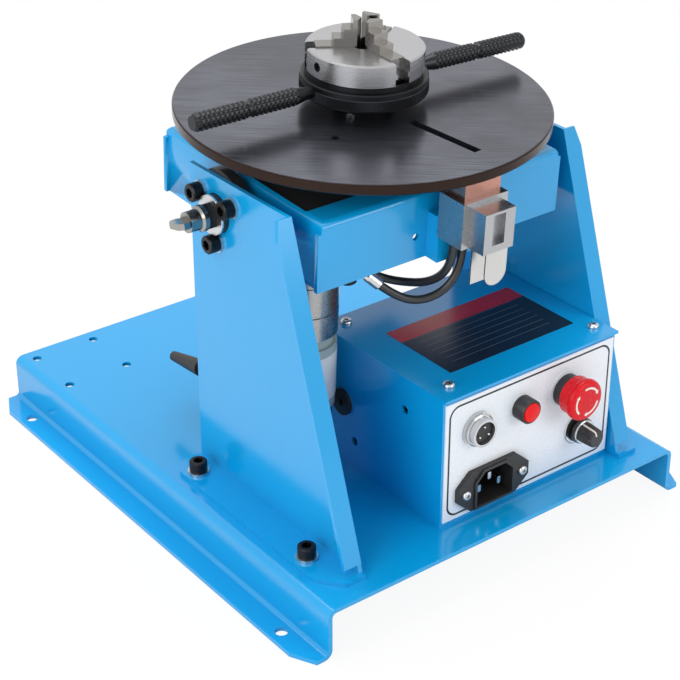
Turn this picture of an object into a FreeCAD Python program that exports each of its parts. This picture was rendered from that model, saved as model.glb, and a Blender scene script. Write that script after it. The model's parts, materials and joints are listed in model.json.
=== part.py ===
"""Bench welding positioner: a motor-driven round table with a three-jaw chuck, carried in a
tray that tilts between two folded uprights, with its control box on the same base plate.

Row frame: origin under the centre of the base plate, +X to the right along the tilt axis,
+Y to the rear (the control panel looks towards -Y), +Z up, millimetres.

Everything that tilts is modelled level about the tilt axis and then turned by rest_tilt,
the few degrees by which the clamped table leans towards the operator.
"""
import FreeCAD, Part
import math
import os
import Sketcher

os.makedirs("parts", exist_ok=True)
doc = FreeCAD.newDocument("positioner")
Vector = FreeCAD.Vector
Rotation = FreeCAD.Rotation
Placement = FreeCAD.Placement

# ---------------------------------------------------------------- driving dimensions
SIZES = {
    # base plate: a folded hat section
    "base_length": 320.0,
    "base_margin": 9.1,
    "base_flange": 14.3,
    "base_height": 29.3,
    "base_sheet": 2.5,
    "bend_radius": 2.5,
    "base_hole": 7.0,
    "base_hole_edge": 7.0,
    "base_hole_inset": 30.0,
    "base_corner_cut": 7.0,
    "stand_hole": 5.5,
    "stand_pitch": 40.0,
    "stand_inset": 29.5,
    "stand_edge": 29.9,
    # tilt axis
    "axis_height": 189.1,
    "axis_forward": 28.0,
    "rest_tilt": 2.8,
    # uprights: folded sheets on both sides of the table
    "side_gap": 11.7,
    "upright_sheet": 2.4,
    "upright_top": 20.2,
    "upright_rear": 24.5,
    "upright_front_top": 61.5,
    "upright_front_foot": 119.4,
    "foot_reach": 20.3,
    "foot_front": 121.5,
    "flange_reach": 8.4,
    "foot_bolt_reach": 12.5,
    "foot_bolt_rear": 8.6,
    "foot_bolt_pitch": 100.0,
    # trunnion bearings and clamp
    "trunnion_stud": 8.0,
    "clamp_reach": 17.0,
    "nut_reach": 10.7,
    "bush_outer": 20.8,
    "bush_flange": 46.0,
    "bush_flange_thick": 6.0,
    "bush_proud": 3.0,
    "bush_screw_circle": 32.4,
    "running_gap": 0.05,
    # tilting tray
    "tray_width": 158.4,
    "tray_depth": 139.0,
    "tray_half_height": 19.0,
    "tray_sheet": 2.4,
    "tray_ear": 2.0,
    "tray_bend": 4.0,
    # table and its spindle
    "table_size": 202.0,
    "table_thick": 6.0,
    "table_top": 40.0,
    "table_slot_width": 5.0,
    "table_slot_start": 35.0,
    "table_slot_end": 82.0,
    "table_slot_angle": -83.5,
    "table_hole": 4.5,
    "table_hole_circle": 100.0,
    "spindle_size": 20.0,
    "spindle_bore": 12.0,
    "spindle_flange": 60.0,
    "spindle_flange_thick": 6.0,
    "bearing_outer": 42.0,
    "bearing_width": 12.0,
    "housing_flange": 72.0,
    "housing_flange_thick": 5.0,
    "housing_wall": 4.0,
    # spur gears
    "table_teeth": 60,
    "pinion_teeth": 20,
    "gear_width": 9.0,
    "tooth_play": 0.16,
    # gearmotor
    "motor_clear": 4.3,
    "motor_direction": 24.73,
    "gearbox_size": 36.0,
    "gearbox_length": 50.0,
    "motor_size": 35.0,
    "motor_length": 40.0,
    "motor_ring_length": 6.5,
    "motor_cap_length": 12.0,
    "motor_shaft": 8.0,
    "motor_plate_sheet": 2.4,
    # chuck
    "chuck_size": 63.0,
    "chuck_body_height": 12.0,
    "ring_size": 68.0,
    "ring_height": 12.8,
    "ring_clear": 7.0,
    "chuck_bore": 16.0,
    "scroll_core": 30.0,
    "scroll_pitch": 5.0,
    "scroll_depth": 2.4,
    "groove_width": 3.0,
    "tooth_width": 1.6,
    "rib_height": 3.6,
    "rib_thick": 2.4,
    "rib_depth": 1.2,
    "chuck_pin_hole": 5.0,
    "tommy_neck": 6.0,
    "jaw_travel_in": 2.0,
    "jaw_width": 9.0,
    "jaw_length": 24.0,
    "jaw_rest": 2.6,
    "jaw_step": 4.9,
    "tommy_size": 10.0,
    "tommy_reach": 107.0,
    # current brush
    "brush_left": -9.2,
    "brush_width": 23.7,
    "brush_depth": 13.0,
    "holder_wall": 2.9,
    "strip_thick": 9.0,
    "holder_depth": 18.5,
    "holder_height": 25.5,
    "holder_top": 22.0,
    "cable_size": 4.5,
    "leaf_width": 14.5,
    # tilt lever
    "lever_size": 8.0,
    "lever_back": 20.0,
    "lever_drop": 119.0,
    # control box
    "box_width": 123.4,
    "box_depth": 104.0,
    "box_height": 78.8,
    "box_left": -33.0,
    "box_front": 111.0,
    "box_sheet": 1.5,
    "overlay_thick": 0.8,
    "mushroom_size": 24.0,
    "knob_size": 15.0,
    "socket_pitch": 40.0,
    # screws and washers
    "cap_head": 10.0,
    "cap_head_height": 6.0,
    "cap_shank": 6.0,
    "cap_washer": 12.0,
    "cap_washer_thick": 1.6,
    "cap_hex": 5.0,
}

sheet = doc.addObject("Spreadsheet::Sheet", "dims")
for row, (alias, number) in enumerate(SIZES.items(), start=1):
    sheet.set("A%d" % row, alias)
    sheet.set("B%d" % row, str(number))
    sheet.setAlias("B%d" % row, alias)
doc.recompute()


class Size:
    """A number together with the expression that keeps it tied to the sheet."""

    def __init__(self, number, text):
        self.number = float(number)
        self.text = text

    def join(self, other, sign, swap=False):
        other = other if isinstance(other, Size) else Size(other, repr(float(other)))
        left, right = (other, self) if swap else (self, other)
        results = {"+": left.number + right.number, "-": left.number - right.number,
                   "*": left.number * right.number}
        number = results[sign] if sign in results else left.number / right.number
        return Size(number, "(%s %s %s)" % (left.text, sign, right.text))

    def __add__(self, other):
        return self.join(other, "+")

    def __radd__(self, other):
        return self.join(other, "+", swap=True)

    def __sub__(self, other):
        return self.join(other, "-")

    def __rsub__(self, other):
        return self.join(other, "-", swap=True)

    def __mul__(self, other):
        return self.join(other, "*")

    def __rmul__(self, other):
        return self.join(other, "*", swap=True)

    def __truediv__(self, other):
        return self.join(other, "/")

    def __rtruediv__(self, other):
        return self.join(other, "/", swap=True)

    def __neg__(self):
        return Size(-self.number, "(-1 * %s)" % self.text)

    def __float__(self):
        return self.number


class Sheet:
    """Gives every alias of the sheet as an attribute."""

    def __getattr__(self, alias):
        return Size(sheet.get(alias), "dims.%s" % alias)


d = Sheet()


def bind(thing, path, size):
    """Sets a property, and ties it to the sheet when the size came from there."""
    if isinstance(size, Size):
        thing.setExpression(path, size.text)


# ---------------------------------------------------------------- sketching helpers
PARTS = {}


def body(label):
    new = doc.addObject("PartDesign::Body", label)
    new.Label = label
    PARTS[label] = new
    return new


def plane(owner, role):
    return [f for f in owner.Origin.OriginFeatures if f.Role == role][0]


def sketch(owner, role, offset):
    new = owner.newObject("Sketcher::SketchObject", owner.Name + "_sketch")
    new.AttachmentSupport = [(plane(owner, role), "")]
    new.MapMode = "FlatFace"
    new.AttachmentOffset = Placement(Vector(0, 0, float(offset)), Rotation())
    bind(new, ".AttachmentOffset.Base.z", offset)
    return new


def pin(drawing, geometry, point, x, y):
    """Ties one point of the drawing to the origin, by its two distances."""
    for kind, value in (("DistanceX", x), ("DistanceY", y)):
        index = drawing.addConstraint(Sketcher.Constraint(kind, -1, 1, geometry, point, float(value)))
        bind(drawing, "Constraints[%d]" % index, value)


def polygon(drawing, points):
    count = len(points)
    first = drawing.GeometryCount
    for i, (x, y) in enumerate(points):
        nx, ny = points[(i + 1) % count]
        start = Vector(float(x), float(y), 0)
        drawing.addGeometry(Part.LineSegment(start, Vector(float(nx), float(ny), 0)), False)
    for i in range(count):
        following = first + (i + 1) % count
        drawing.addConstraint(Sketcher.Constraint("Coincident", first + i, 2, following, 1))
    for i, (x, y) in enumerate(points):
        pin(drawing, first + i, 1, x, y)


def circle(drawing, x, y, radius):
    index = drawing.addGeometry(Part.Circle(Vector(float(x), float(y), 0), Vector(0, 0, 1), float(radius)), False)
    pin(drawing, index, 3, x, y)
    ring = drawing.addConstraint(Sketcher.Constraint("Radius", index, float(radius)))
    bind(drawing, "Constraints[%d]" % ring, radius)


def draw(drawing, loops):
    for loop in loops:
        if isinstance(loop, list):
            polygon(drawing, loop)
        else:
            circle(drawing, *loop)


NORMALS = {"XY_Plane": 1, "XZ_Plane": -1, "YZ_Plane": 1}


def extrude(owner, role, loops, low, high):
    """Adds the loops between two heights along the plane's own row axis."""
    base = low if NORMALS[role] > 0 else -1 * high
    drawing = sketch(owner, role, base)
    draw(drawing, loops)
    pad = owner.newObject("PartDesign::Pad", owner.Name + "_pad")
    pad.Profile = drawing
    length = high - low
    pad.Length = float(length)
    bind(pad, "Length", length)
    return pad


def cut(owner, role, loops, low, high):
    """Removes the loops between two heights along the plane's own row axis."""
    top = high if NORMALS[role] > 0 else -1 * low
    drawing = sketch(owner, role, top)
    draw(drawing, loops)
    pocket = owner.newObject("PartDesign::Pocket", owner.Name + "_pocket")
    pocket.Profile = drawing
    length = high - low
    pocket.Length = float(length)
    bind(pocket, "Length", length)
    return pocket


def turn(owner, profile, groove=False):
    """Revolves a closed profile of (radius, height) points about the body's Z axis."""
    drawing = sketch(owner, "XZ_Plane", 0.0)
    polygon(drawing, profile)
    kind = "Groove" if groove else "Revolution"
    revolved = owner.newObject("PartDesign::" + kind, owner.Name + "_turned")
    revolved.Profile = drawing
    revolved.ReferenceAxis = (drawing, ["V_Axis"])
    revolved.Angle = 360.0
    return revolved


def repeat(owner, feature, count):
    """Repeats a feature evenly about the body's Z axis."""
    pattern = owner.newObject("PartDesign::PolarPattern", owner.Name + "_pattern")
    pattern.Originals = [feature]
    pattern.Axis = (plane(owner, "Z_Axis"), [""])
    pattern.Angle = 360.0
    pattern.Occurrences = count
    owner.Tip = pattern
    return pattern


def edges(feature, test):
    """Names of the edges whose middle point and direction pass the test."""
    names = []
    for i, edge in enumerate(feature.Shape.Edges, start=1):
        if edge.Curve.TypeId != "Part::GeomLine":
            continue
        direction = (edge.lastVertex().Point - edge.firstVertex().Point).normalize()
        if test(edge.CenterOfMass, direction):
            names.append("Edge%d" % i)
    return names


def near(a, b):
    return abs(float(a) - float(b)) < 0.01


def dress(owner, kind, feature, names, size):
    """Rounds or bevels the named edges of a feature."""
    new = owner.newObject("PartDesign::" + kind, owner.Name + "_" + kind.lower())
    new.Base = (feature, names)
    prop = "Radius" if kind == "Fillet" else "Size"
    setattr(new, prop, float(size))
    bind(new, prop, size)
    doc.recompute()
    return new


def box_loop(x0, x1, y0, y1):
    return [(x0, y0), (x1, y0), (x1, y1), (x0, y1)]


# ---------------------------------------------------------------- placing helpers
AXIS = Vector(0, -float(d.axis_forward), float(d.axis_height))
LEAN = Rotation(Vector(1, 0, 0), float(d.rest_tilt))
TO_LEFT = Rotation(Vector(0, 1, 0), -90)
TO_RIGHT = Rotation(Vector(0, 1, 0), 90)
TO_FRONT = Rotation(Vector(1, 0, 0), 90)


def stand(part, x=0.0, y=0.0, z=0.0, rotation=Rotation()):
    part.Placement = Placement(Vector(float(x), float(y), float(z)), rotation)


def lean(part, x=0.0, y=0.0, z=0.0, rotation=Rotation()):
    """Places a piece of the tilting group: level coordinates about the tilt axis."""
    local = Placement(Vector(float(x), float(y), float(z)), rotation)
    part.Placement = Placement(AXIS, LEAN).multiply(local)


def group(label, master, places):
    """Identical fasteners: one node that holds a copy of the master at each place."""
    copies = []
    for place in places:
        copy = master.copy()
        copy.Placement = place
        copies.append(copy)
    new = doc.addObject("Part::Feature", label)
    new.Label = label
    new.Shape = Part.makeCompound(copies)
    PARTS[label] = new
    return new


def at(x, y, z, rotation=Rotation()):
    return Placement(Vector(float(x), float(y), float(z)), rotation)


def leaning(x, y, z, rotation=Rotation()):
    return Placement(AXIS, LEAN).multiply(at(x, y, z, rotation))


def socket_screw(head, height, shank, length, hexagon):
    """Socket head screw: head bottom at z = 0, shank downwards."""
    radius = float(head) / 2
    solid = Part.makeCylinder(radius, float(height))
    solid = solid.makeChamfer(0.06 * float(head), [solid.Edges[0]])
    solid = solid.fuse(Part.makeCylinder(float(shank) / 2, float(length), Vector(0, 0, -float(length))))
    corners = [Vector(math.cos(math.radians(60 * i)), math.sin(math.radians(60 * i)), 0) for i in range(7)]
    across = float(hexagon) / math.sqrt(3)
    wire = Part.makePolygon([c * across + Vector(0, 0, float(height) * 0.45) for c in corners])
    recess = Part.Face(wire).extrude(Vector(0, 0, float(height)))
    return solid.cut(recess).removeSplitter()


def washer(outer, inner, thick):
    return Part.makeCylinder(float(outer) / 2, float(thick)).cut(
        Part.makeCylinder(float(inner) / 2, float(thick)))


def hex_nut(across, thick, bore):
    corner = float(across) / math.sqrt(3)
    points = [Vector(corner * math.cos(math.radians(60 * i)), corner * math.sin(math.radians(60 * i)), 0)
              for i in range(7)]
    solid = Part.Face(Part.makePolygon(points)).extrude(Vector(0, 0, float(thick)))
    bevel = Part.makeCone(corner * 1.0 + float(thick), 0.97 * corner - 0.0, float(thick))
    solid = solid.common(bevel)
    return solid.cut(Part.makeCylinder(float(bore) / 2, float(thick)))


# ---------------------------------------------------------------- base plate
h = d.base_height
s = d.base_sheet
side_wall = d.tray_width / 2
t = d.upright_sheet
upright_face = side_wall + d.side_gap + t
half_length = d.base_length / 2
half_top = upright_face + d.foot_reach + d.base_margin
half_width = half_top + d.base_flange

base = body("base_plate")
hat = [(-half_width, 0.0), (-(half_top - s), 0.0), (-(half_top - s), h - s), (half_top - s, h - s),
       (half_top - s, 0.0), (half_width, 0.0), (half_width, s), (half_top, s),
       (half_top, h), (-half_top, h), (-half_top, s), (-half_width, s)]
section = extrude(base, "XZ_Plane", [hat], -half_length, half_length)
doc.recompute()


def along_y(direction):
    return abs(direction.y) > 0.99


outer = edges(section, lambda c, v: along_y(v) and (
    (near(c.z, h) and near(abs(c.x), half_top)) or (near(c.z, 0) and near(abs(c.x), half_top - s))))
section = dress(base, "Fillet", section, outer, d.bend_radius + s)
inner = edges(section, lambda c, v: along_y(v) and (
    (near(c.z, h - s) and near(abs(c.x), half_top - s)) or (near(c.z, s) and near(abs(c.x), half_top))))
section = dress(base, "Fillet", section, inner, d.bend_radius)

corners = []
for sx in (-1, 1):
    for sy in (-1, 1):
        corners.append([(sx * half_width, sy * half_length),
                        (sx * half_width, sy * (half_length - 2 * d.base_corner_cut)),
                        (sx * (half_width - d.base_corner_cut), sy * half_length)])
cut(base, "XY_Plane", corners, 0.0, s)
hole_x = half_width - d.base_hole_edge
hole_y = half_length - d.base_hole_inset
cut(base, "XY_Plane", [(x * hole_x, y * hole_y, d.base_hole / 2) for x in (-1, 1) for y in (-1, 1)], 0.0, s)

stand_y = half_length - d.stand_inset
stand_holes = [(-half_top + d.stand_edge + x * d.stand_pitch / 2, stand_y + y * d.stand_pitch / 2, d.stand_hole / 2)
               for x in (-1, 1) for y in (-1, 1)]
foot_x = upright_face + d.foot_bolt_reach
foot_ys = [d.foot_bolt_rear - d.axis_forward, d.foot_bolt_rear - d.foot_bolt_pitch - d.axis_forward]
bolt_clear = d.cap_shank / 2 + 0.3
foot_holes = [(x * foot_x, y, bolt_clear) for x in (-1, 1) for y in foot_ys]
cut(base, "XY_Plane", stand_holes + foot_holes, h - s, h)

# ---------------------------------------------------------------- uprights
foot_top = h + t
top = d.axis_height + d.upright_top
rear = d.upright_rear - d.axis_forward
front_top = -d.upright_front_top - d.axis_forward
front_foot = -d.upright_front_foot - d.axis_forward
axis_y = -d.axis_forward
screw_angles = (30, 150, 270)
slope = math.hypot(float(front_top - front_foot), float(top - foot_top))
lean_y = float(top - foot_top) / slope
lean_z = -float(front_top - front_foot) / slope


def upright(label, side):
    """One folded sheet: side wall, sloping front flange and foot, all bent outwards."""
    part = body(label)
    near_x, far_x = (upright_face - t, upright_face)

    def span(a, b):
        return (a, b) if side > 0 else (-b, -a)

    wall = [(rear, h), (rear, top), (front_top, top), (front_foot, h)]
    extrude(part, "YZ_Plane", [wall], *span(near_x, far_x))
    step_y, step_z = t * lean_y, t * lean_z
    start = 5.0
    low_y = front_foot + start * (front_top - front_foot) / slope
    low_z = foot_top + start * (top - foot_top) / slope
    strip = [(low_y, low_z), (front_top, top),
             (front_top + step_y, top + step_z), (low_y + step_y, low_z + step_z)]
    extrude(part, "YZ_Plane", [strip], *span(near_x, far_x + d.flange_reach))
    foot_x0 = near_x
    foot_x1 = far_x + d.foot_reach
    foot_front = -d.foot_front - d.axis_forward
    foot = [(side * foot_x0, foot_front), (side * (foot_x1 - 10.0), foot_front), (side * foot_x1, foot_front + 13.5),
            (side * foot_x1, rear - 9.0), (side * (foot_x1 - 8.0), rear), (side * foot_x0, rear)]
    extrude(part, "XY_Plane", [foot], h, foot_top)
    doc.recompute()
    hole = [(side * foot_x, y, bolt_clear) for y in foot_ys]
    cut(part, "XY_Plane", [hole[0], hole[1]], h, foot_top)
    bearing = (axis_y, d.axis_height, d.bush_outer / 2 + 0.3)
    screws = []
    for angle in screw_angles:
        a = math.radians(angle)
        screws.append((axis_y + d.bush_screw_circle / 2 * math.cos(a),
                       d.axis_height + d.bush_screw_circle / 2 * math.sin(a), bolt_clear))
    cut(part, "YZ_Plane", [bearing], *span(near_x, far_x))
    cut(part, "YZ_Plane", screws, *span(near_x, far_x))
    tip = far_x + d.flange_reach
    cut(part, "XZ_Plane", [[(side * (tip - 3.0), top + 1.0), (side * (tip + 1.0), top + 1.0),
                            (side * (tip + 1.0), top - 12.0), (side * tip, top - 10.5)]],
        front_top - 10.0, front_top + 6.0)
    return part


upright("left_upright", -1)
upright("right_upright", 1)

bolt = socket_screw(d.cap_head, d.cap_head_height, d.cap_shank, 16.0, d.cap_hex)
flat_washer = washer(d.cap_washer, d.cap_shank + 0.6, d.cap_washer_thick)
foot_nut = hex_nut(10.0, 5.0, d.cap_shank)
places = [(x * foot_x, y) for x in (-1, 1) for y in foot_ys]
group("foot_bolts", bolt, [at(x, y, foot_top + d.cap_washer_thick) for x, y in places])
group("foot_washers", flat_washer, [at(x, y, foot_top) for x, y in places])
group("foot_nuts", foot_nut, [at(x, y, h - s - 5.0) for x, y in places])

# ---------------------------------------------------------------- trunnion bearings and clamp
stud_r = d.trunnion_stud / 2
flange_inner = d.bush_flange_thick
bush_face = upright_face + d.bush_proud
for label, turn_to, side in (("left_bush", TO_LEFT, -1), ("right_bush", TO_RIGHT, 1)):
    bush = body(label)
    inside = upright_face - t - d.bush_flange_thick
    bore = stud_r + d.running_gap
    turn(bush, [(bore, inside), (d.bush_flange / 2, inside), (d.bush_flange / 2, upright_face - t),
                (d.bush_outer / 2, upright_face - t), (d.bush_outer / 2, bush_face), (bore, bush_face)])
    spots = []
    for angle in screw_angles:
        point = turn_to.inverted().multVec(Vector(0, math.cos(math.radians(angle)), math.sin(math.radians(angle))))
        spots.append((d.bush_screw_circle / 2 * point.x, d.bush_screw_circle / 2 * point.y, d.cap_shank / 2))
    cut(bush, "XY_Plane", spots, inside, upright_face - t)
    stand(bush, 0, axis_y, d.axis_height, turn_to)

bush_bolt = socket_screw(d.cap_head, d.cap_head_height, d.cap_shank, 9.0, d.cap_hex)
spots = []
for turn_to, side in ((TO_LEFT, -1), (TO_RIGHT, 1)):
    for angle in screw_angles:
        y = axis_y + d.bush_screw_circle / 2 * math.cos(math.radians(angle))
        z = d.axis_height + d.bush_screw_circle / 2 * math.sin(math.radians(angle))
        spots.append((side, y, z, turn_to))
group("bush_screws", bush_bolt,
      [at(sd * (upright_face + d.cap_washer_thick), y, z, r) for sd, y, z, r in spots])
group("bush_washers", washer(d.cap_washer - 1.0, d.cap_shank + 0.6, d.cap_washer_thick),
      [at(sd * upright_face, y, z, r) for sd, y, z, r in spots])



def revolved(profile):
    """Solid of revolution about Z from a closed (radius, height) profile."""
    points = [Vector(float(r), 0, float(z)) for r, z in profile]
    return Part.Face(Part.makePolygon(points + points[:1])).revolve(Vector(0, 0, 0), Vector(0, 0, 1), 360)


def stud(reach):
    """Trunnion stud with a shoulder against the tray; reach is its length past the upright."""
    inner = side_wall - d.tray_sheet - 7.0
    shoulder = upright_face - t - d.bush_flange_thick - 0.1
    end = upright_face + reach
    return revolved([(0.0, inner), (stud_r - 0.6, inner), (stud_r, inner + 0.6), (stud_r, side_wall),
                     (stud_r * 2, side_wall), (stud_r * 2, shoulder), (stud_r, shoulder),
                     (stud_r, end - 0.8), (stud_r - 0.8, end), (0.0, end)])


def feature(label, shape, place=None):
    new = doc.addObject("Part::Feature", label)
    new.Label = label
    new.Shape = shape
    if place is not None:
        new.Placement = place
    PARTS[label] = new
    return new


left_stud = stud(d.clamp_reach)
left_stud.Placement = at(0, 0, 0, TO_LEFT)
right_stud = stud(d.nut_reach)
right_stud.Placement = at(0, 0, 0, TO_RIGHT)
feature("trunnion_studs", Part.makeCompound([left_stud, right_stud]), leaning(0, 0, 0))

washer_at = bush_face + 0.1
group("stud_washers", washer(17.0, d.trunnion_stud, 1.6),
      [leaning(sd * washer_at, 0, 0, r) for sd, r in ((-1, TO_LEFT), (1, TO_RIGHT))])
nut_at = washer_at + 1.6
group("stud_nuts", hex_nut(13.0, 4.2, d.trunnion_stud),
      [leaning(sd * nut_at, 0, 0, r) for sd, r in ((-1, TO_LEFT), (1, TO_RIGHT))]
      + [leaning(sd * (side_wall - d.tray_sheet - 4.2), 0, 0, r) for sd, r in ((-1, TO_LEFT), (1, TO_RIGHT))])

wing = body("wing_nut")
wing_at = nut_at + 4.3
wing_bore = stud_r + d.running_gap
turn(wing, [(wing_bore, wing_at), (7.0, wing_at), (7.0, wing_at + 2.5), (5.6, wing_at + 3.5),
            (5.6, wing_at + 10.0), (0.0, wing_at + 10.0), (0.0, wing_at + 8.4), (wing_bore, wing_at + 8.4)])
blade = [(-4.0, wing_at + 9.0), (4.0, wing_at + 9.0), (6.5, wing_at + 11.5), (6.5, wing_at + 15.0),
         (4.0, wing_at + 17.5), (-4.0, wing_at + 17.5), (-6.5, wing_at + 15.0), (-6.5, wing_at + 11.5)]
extrude(wing, "XZ_Plane", [blade], -1.7, 1.7)
lean(wing, 0, 0, 0, Rotation(Vector(1, 0, 0), 75.0).multiply(TO_LEFT))

# ---------------------------------------------------------------- tilting tray
tray = body("tilt_tray")
half_depth = d.tray_depth / 2
low = -d.tray_half_height
high = d.tray_half_height
block = extrude(tray, "XY_Plane", [box_loop(-side_wall, side_wall, -half_depth, half_depth)], low, high)
doc.recompute()
rim = edges(block, lambda c, v: near(c.z, high))
block = dress(tray, "Fillet", block, rim, d.tray_bend)
w = d.tray_sheet
cut(tray, "XY_Plane", [box_loop(-(side_wall - w), side_wall - w, -(half_depth - w), half_depth - w)], low, high - w)
ears = []
for sx in (-1, 1):
    for sy in (-1, 1):
        ears.append([(sx * (side_wall - 0.5), sy * half_depth), (sx * (side_wall + d.tray_ear), sy * half_depth),
                     (sx * (side_wall + d.tray_ear), sy * (half_depth - w)),
                     (sx * (side_wall - 0.5), sy * (half_depth - w))])
extrude(tray, "XY_Plane", ears, low, high - d.tray_bend - 1.5)
barrel_r = d.bearing_outer / 2 + d.housing_wall
cut(tray, "XY_Plane", [(0.0, 0.0, barrel_r + 0.3)], high - w, high)
cut(tray, "YZ_Plane", [(0.0, 0.0, stud_r)], -side_wall, side_wall)
cut(tray, "XZ_Plane", [(-18.4, -5.8, 2.0)], -half_depth, -(half_depth - w))
lean(tray)

# ---------------------------------------------------------------- spindle and bearings
housing = body("bearing_housing")
bearing_r = d.bearing_outer / 2
race_low = 1.0
race_high = 16.0
race_top = race_high + d.bearing_width
turn(housing, [(bearing_r, 0.0), (barrel_r, 0.0), (barrel_r, high), (d.housing_flange / 2, high),
               (d.housing_flange / 2, high + d.housing_flange_thick), (barrel_r, high + d.housing_flange_thick),
               (barrel_r, race_top + 0.4), (bearing_r, race_top + 0.4), (bearing_r, race_high),
               (bearing_r - 3.0, race_high), (bearing_r - 3.0, race_low + d.bearing_width),
               (bearing_r, race_low + d.bearing_width)])
lean(housing)

spindle_r = d.spindle_size / 2
width = float(d.bearing_width)


def ring(inner_r, outer_r, z0, z1):
    return Part.makeCylinder(float(outer_r), float(z1 - z0), Vector(0, 0, float(z0))).cut(
        Part.makeCylinder(float(inner_r), float(z1 - z0), Vector(0, 0, float(z0))))


bearing = ring(13.0, 16.8, 1.2, width - 1.2).fuse(
    [ring(16.2, bearing_r, 0, width), ring(spindle_r + d.running_gap, 13.6, 0, width)]).removeSplitter()
group("spindle_bearings", bearing, [leaning(0, 0, race_low), leaning(0, 0, race_high)])

disc_under = d.table_top - d.table_thick
gear_top = race_low - 4.0
gear_low = gear_top - d.gear_width
spindle = body("spindle")
flange_low = disc_under - 5.0
turn(spindle, [(d.spindle_bore / 2, gear_low - 5.0), (spindle_r, gear_low - 5.0), (spindle_r, race_top),
               (spindle_r + 3.0, race_top), (spindle_r + 3.0, flange_low), (d.spindle_flange / 2, flange_low),
               (d.spindle_flange / 2, disc_under), (d.spindle_bore / 2, disc_under)])
lean(spindle)

disc = body("table_disc")
disc_r = d.table_size / 2
bevel = 0.8
turn(disc, [(d.spindle_bore / 2, disc_under), (disc_r - bevel, disc_under), (disc_r, disc_under + bevel),
            (disc_r, d.table_top - bevel), (disc_r - bevel, d.table_top), (d.spindle_bore / 2, d.table_top)])
slot_half = d.table_slot_width / 2
inner_x = d.table_slot_start
outer_x = d.table_slot_end
slot_angle = float(d.table_slot_angle)
ca, sa = math.cos(math.radians(slot_angle)), math.sin(math.radians(slot_angle))
corner = [(inner_x, -slot_half), (outer_x, -slot_half), (outer_x, slot_half), (inner_x, slot_half)]
cut(disc, "XY_Plane", [[(x * ca - y * sa, x * sa + y * ca) for x, y in corner]], disc_under, d.table_top)
hole_angle = math.radians(-144.6)
hole_r = d.table_hole_circle / 2
cut(disc, "XY_Plane", [(hole_r * math.cos(hole_angle), hole_r * math.sin(hole_angle), d.table_hole / 2)],
    disc_under, d.table_top)
lean(disc)


def spur_gear(teeth, module, z0, z1, bore_r, play):
    """Involute spur gear; play is the backlash taken off each tooth at the pitch circle."""
    teeth = int(float(teeth))
    module = float(module)
    pitch_r = module * teeth / 2
    base_r = pitch_r * math.cos(math.radians(20))
    tip_r = pitch_r + module
    root_r = pitch_r - 1.25 * module
    inv = math.tan(math.radians(20)) - math.radians(20)
    half = math.pi / (2 * teeth) - float(play) / (2 * pitch_r)
    low_r = max(base_r, root_r)
    flank = []
    for i in range(5):
        r = low_r + (tip_r - low_r) * i / 4
        pressure = math.acos(min(1.0, base_r / r))
        flank.append((r, half + inv - (math.tan(pressure) - pressure)))
    points = []
    for k in range(teeth):
        centre = 2 * math.pi * k / teeth
        points.append((root_r, centre - flank[0][1]))
        points += [(r, centre - a) for r, a in flank]
        points += [(r, centre + a) for r, a in reversed(flank)]
        points.append((root_r, centre + flank[0][1]))
    corner_points = []
    for r, a in points:
        corner_points.append(Vector(r * math.cos(a), r * math.sin(a), float(z0)))
    cleaned = [corner_points[0]]
    for p in corner_points[1:]:
        if (p - cleaned[-1]).Length > 1e-4:
            cleaned.append(p)
    cleaned.append(cleaned[0])
    solid = Part.Face(Part.makePolygon(cleaned)).extrude(Vector(0, 0, float(z1 - z0)))
    if bore_r:
        solid = solid.cut(Part.makeCylinder(float(bore_r), float(z1 - z0), Vector(0, 0, float(z0))))
    return solid


motor_x = -float(side_wall - d.tray_sheet - d.motor_clear - d.gearbox_size / 2)
motor_v = motor_x * math.tan(math.radians(float(d.motor_direction)))
gear_distance = math.hypot(motor_x, motor_v)
gear_module = 2 * gear_distance / (float(d.table_teeth) + float(d.pinion_teeth))
mesh_angle = math.degrees(math.atan2(motor_v, motor_x))

table_gear = spur_gear(d.table_teeth, gear_module, gear_low, gear_top, spindle_r, d.tooth_play)
table_gear = table_gear.fuse(ring(spindle_r, spindle_r + 4.0, gear_top, race_low - 0.0)).removeSplitter()
feature("table_gear", table_gear, leaning(0, 0, 0, Rotation(Vector(0, 0, 1), mesh_angle)))
nut = hex_nut(27.0, 4.5, d.spindle_size)
feature("spindle_nut", nut, leaning(0, 0, gear_low - 4.5))

# ---------------------------------------------------------------- gearmotor and its plate
plate_top = low + 3.0
plate_low = plate_top - d.motor_plate_sheet
shaft_r = d.motor_shaft / 2
pinion = spur_gear(d.pinion_teeth, gear_module, gear_low, gear_top, 0, d.tooth_play)
pinion = pinion.fuse(Part.makeCylinder(float(shaft_r), float(gear_top - plate_low) + 14.0,
                                       Vector(0, 0, float(plate_low) - 14.0))).removeSplitter()
half_tooth = 180.0 / float(d.pinion_teeth)
feature("pinion", pinion, leaning(motor_x, motor_v, 0,
                                  Rotation(Vector(0, 0, 1), mesh_angle + 180.0 + half_tooth)))

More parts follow.
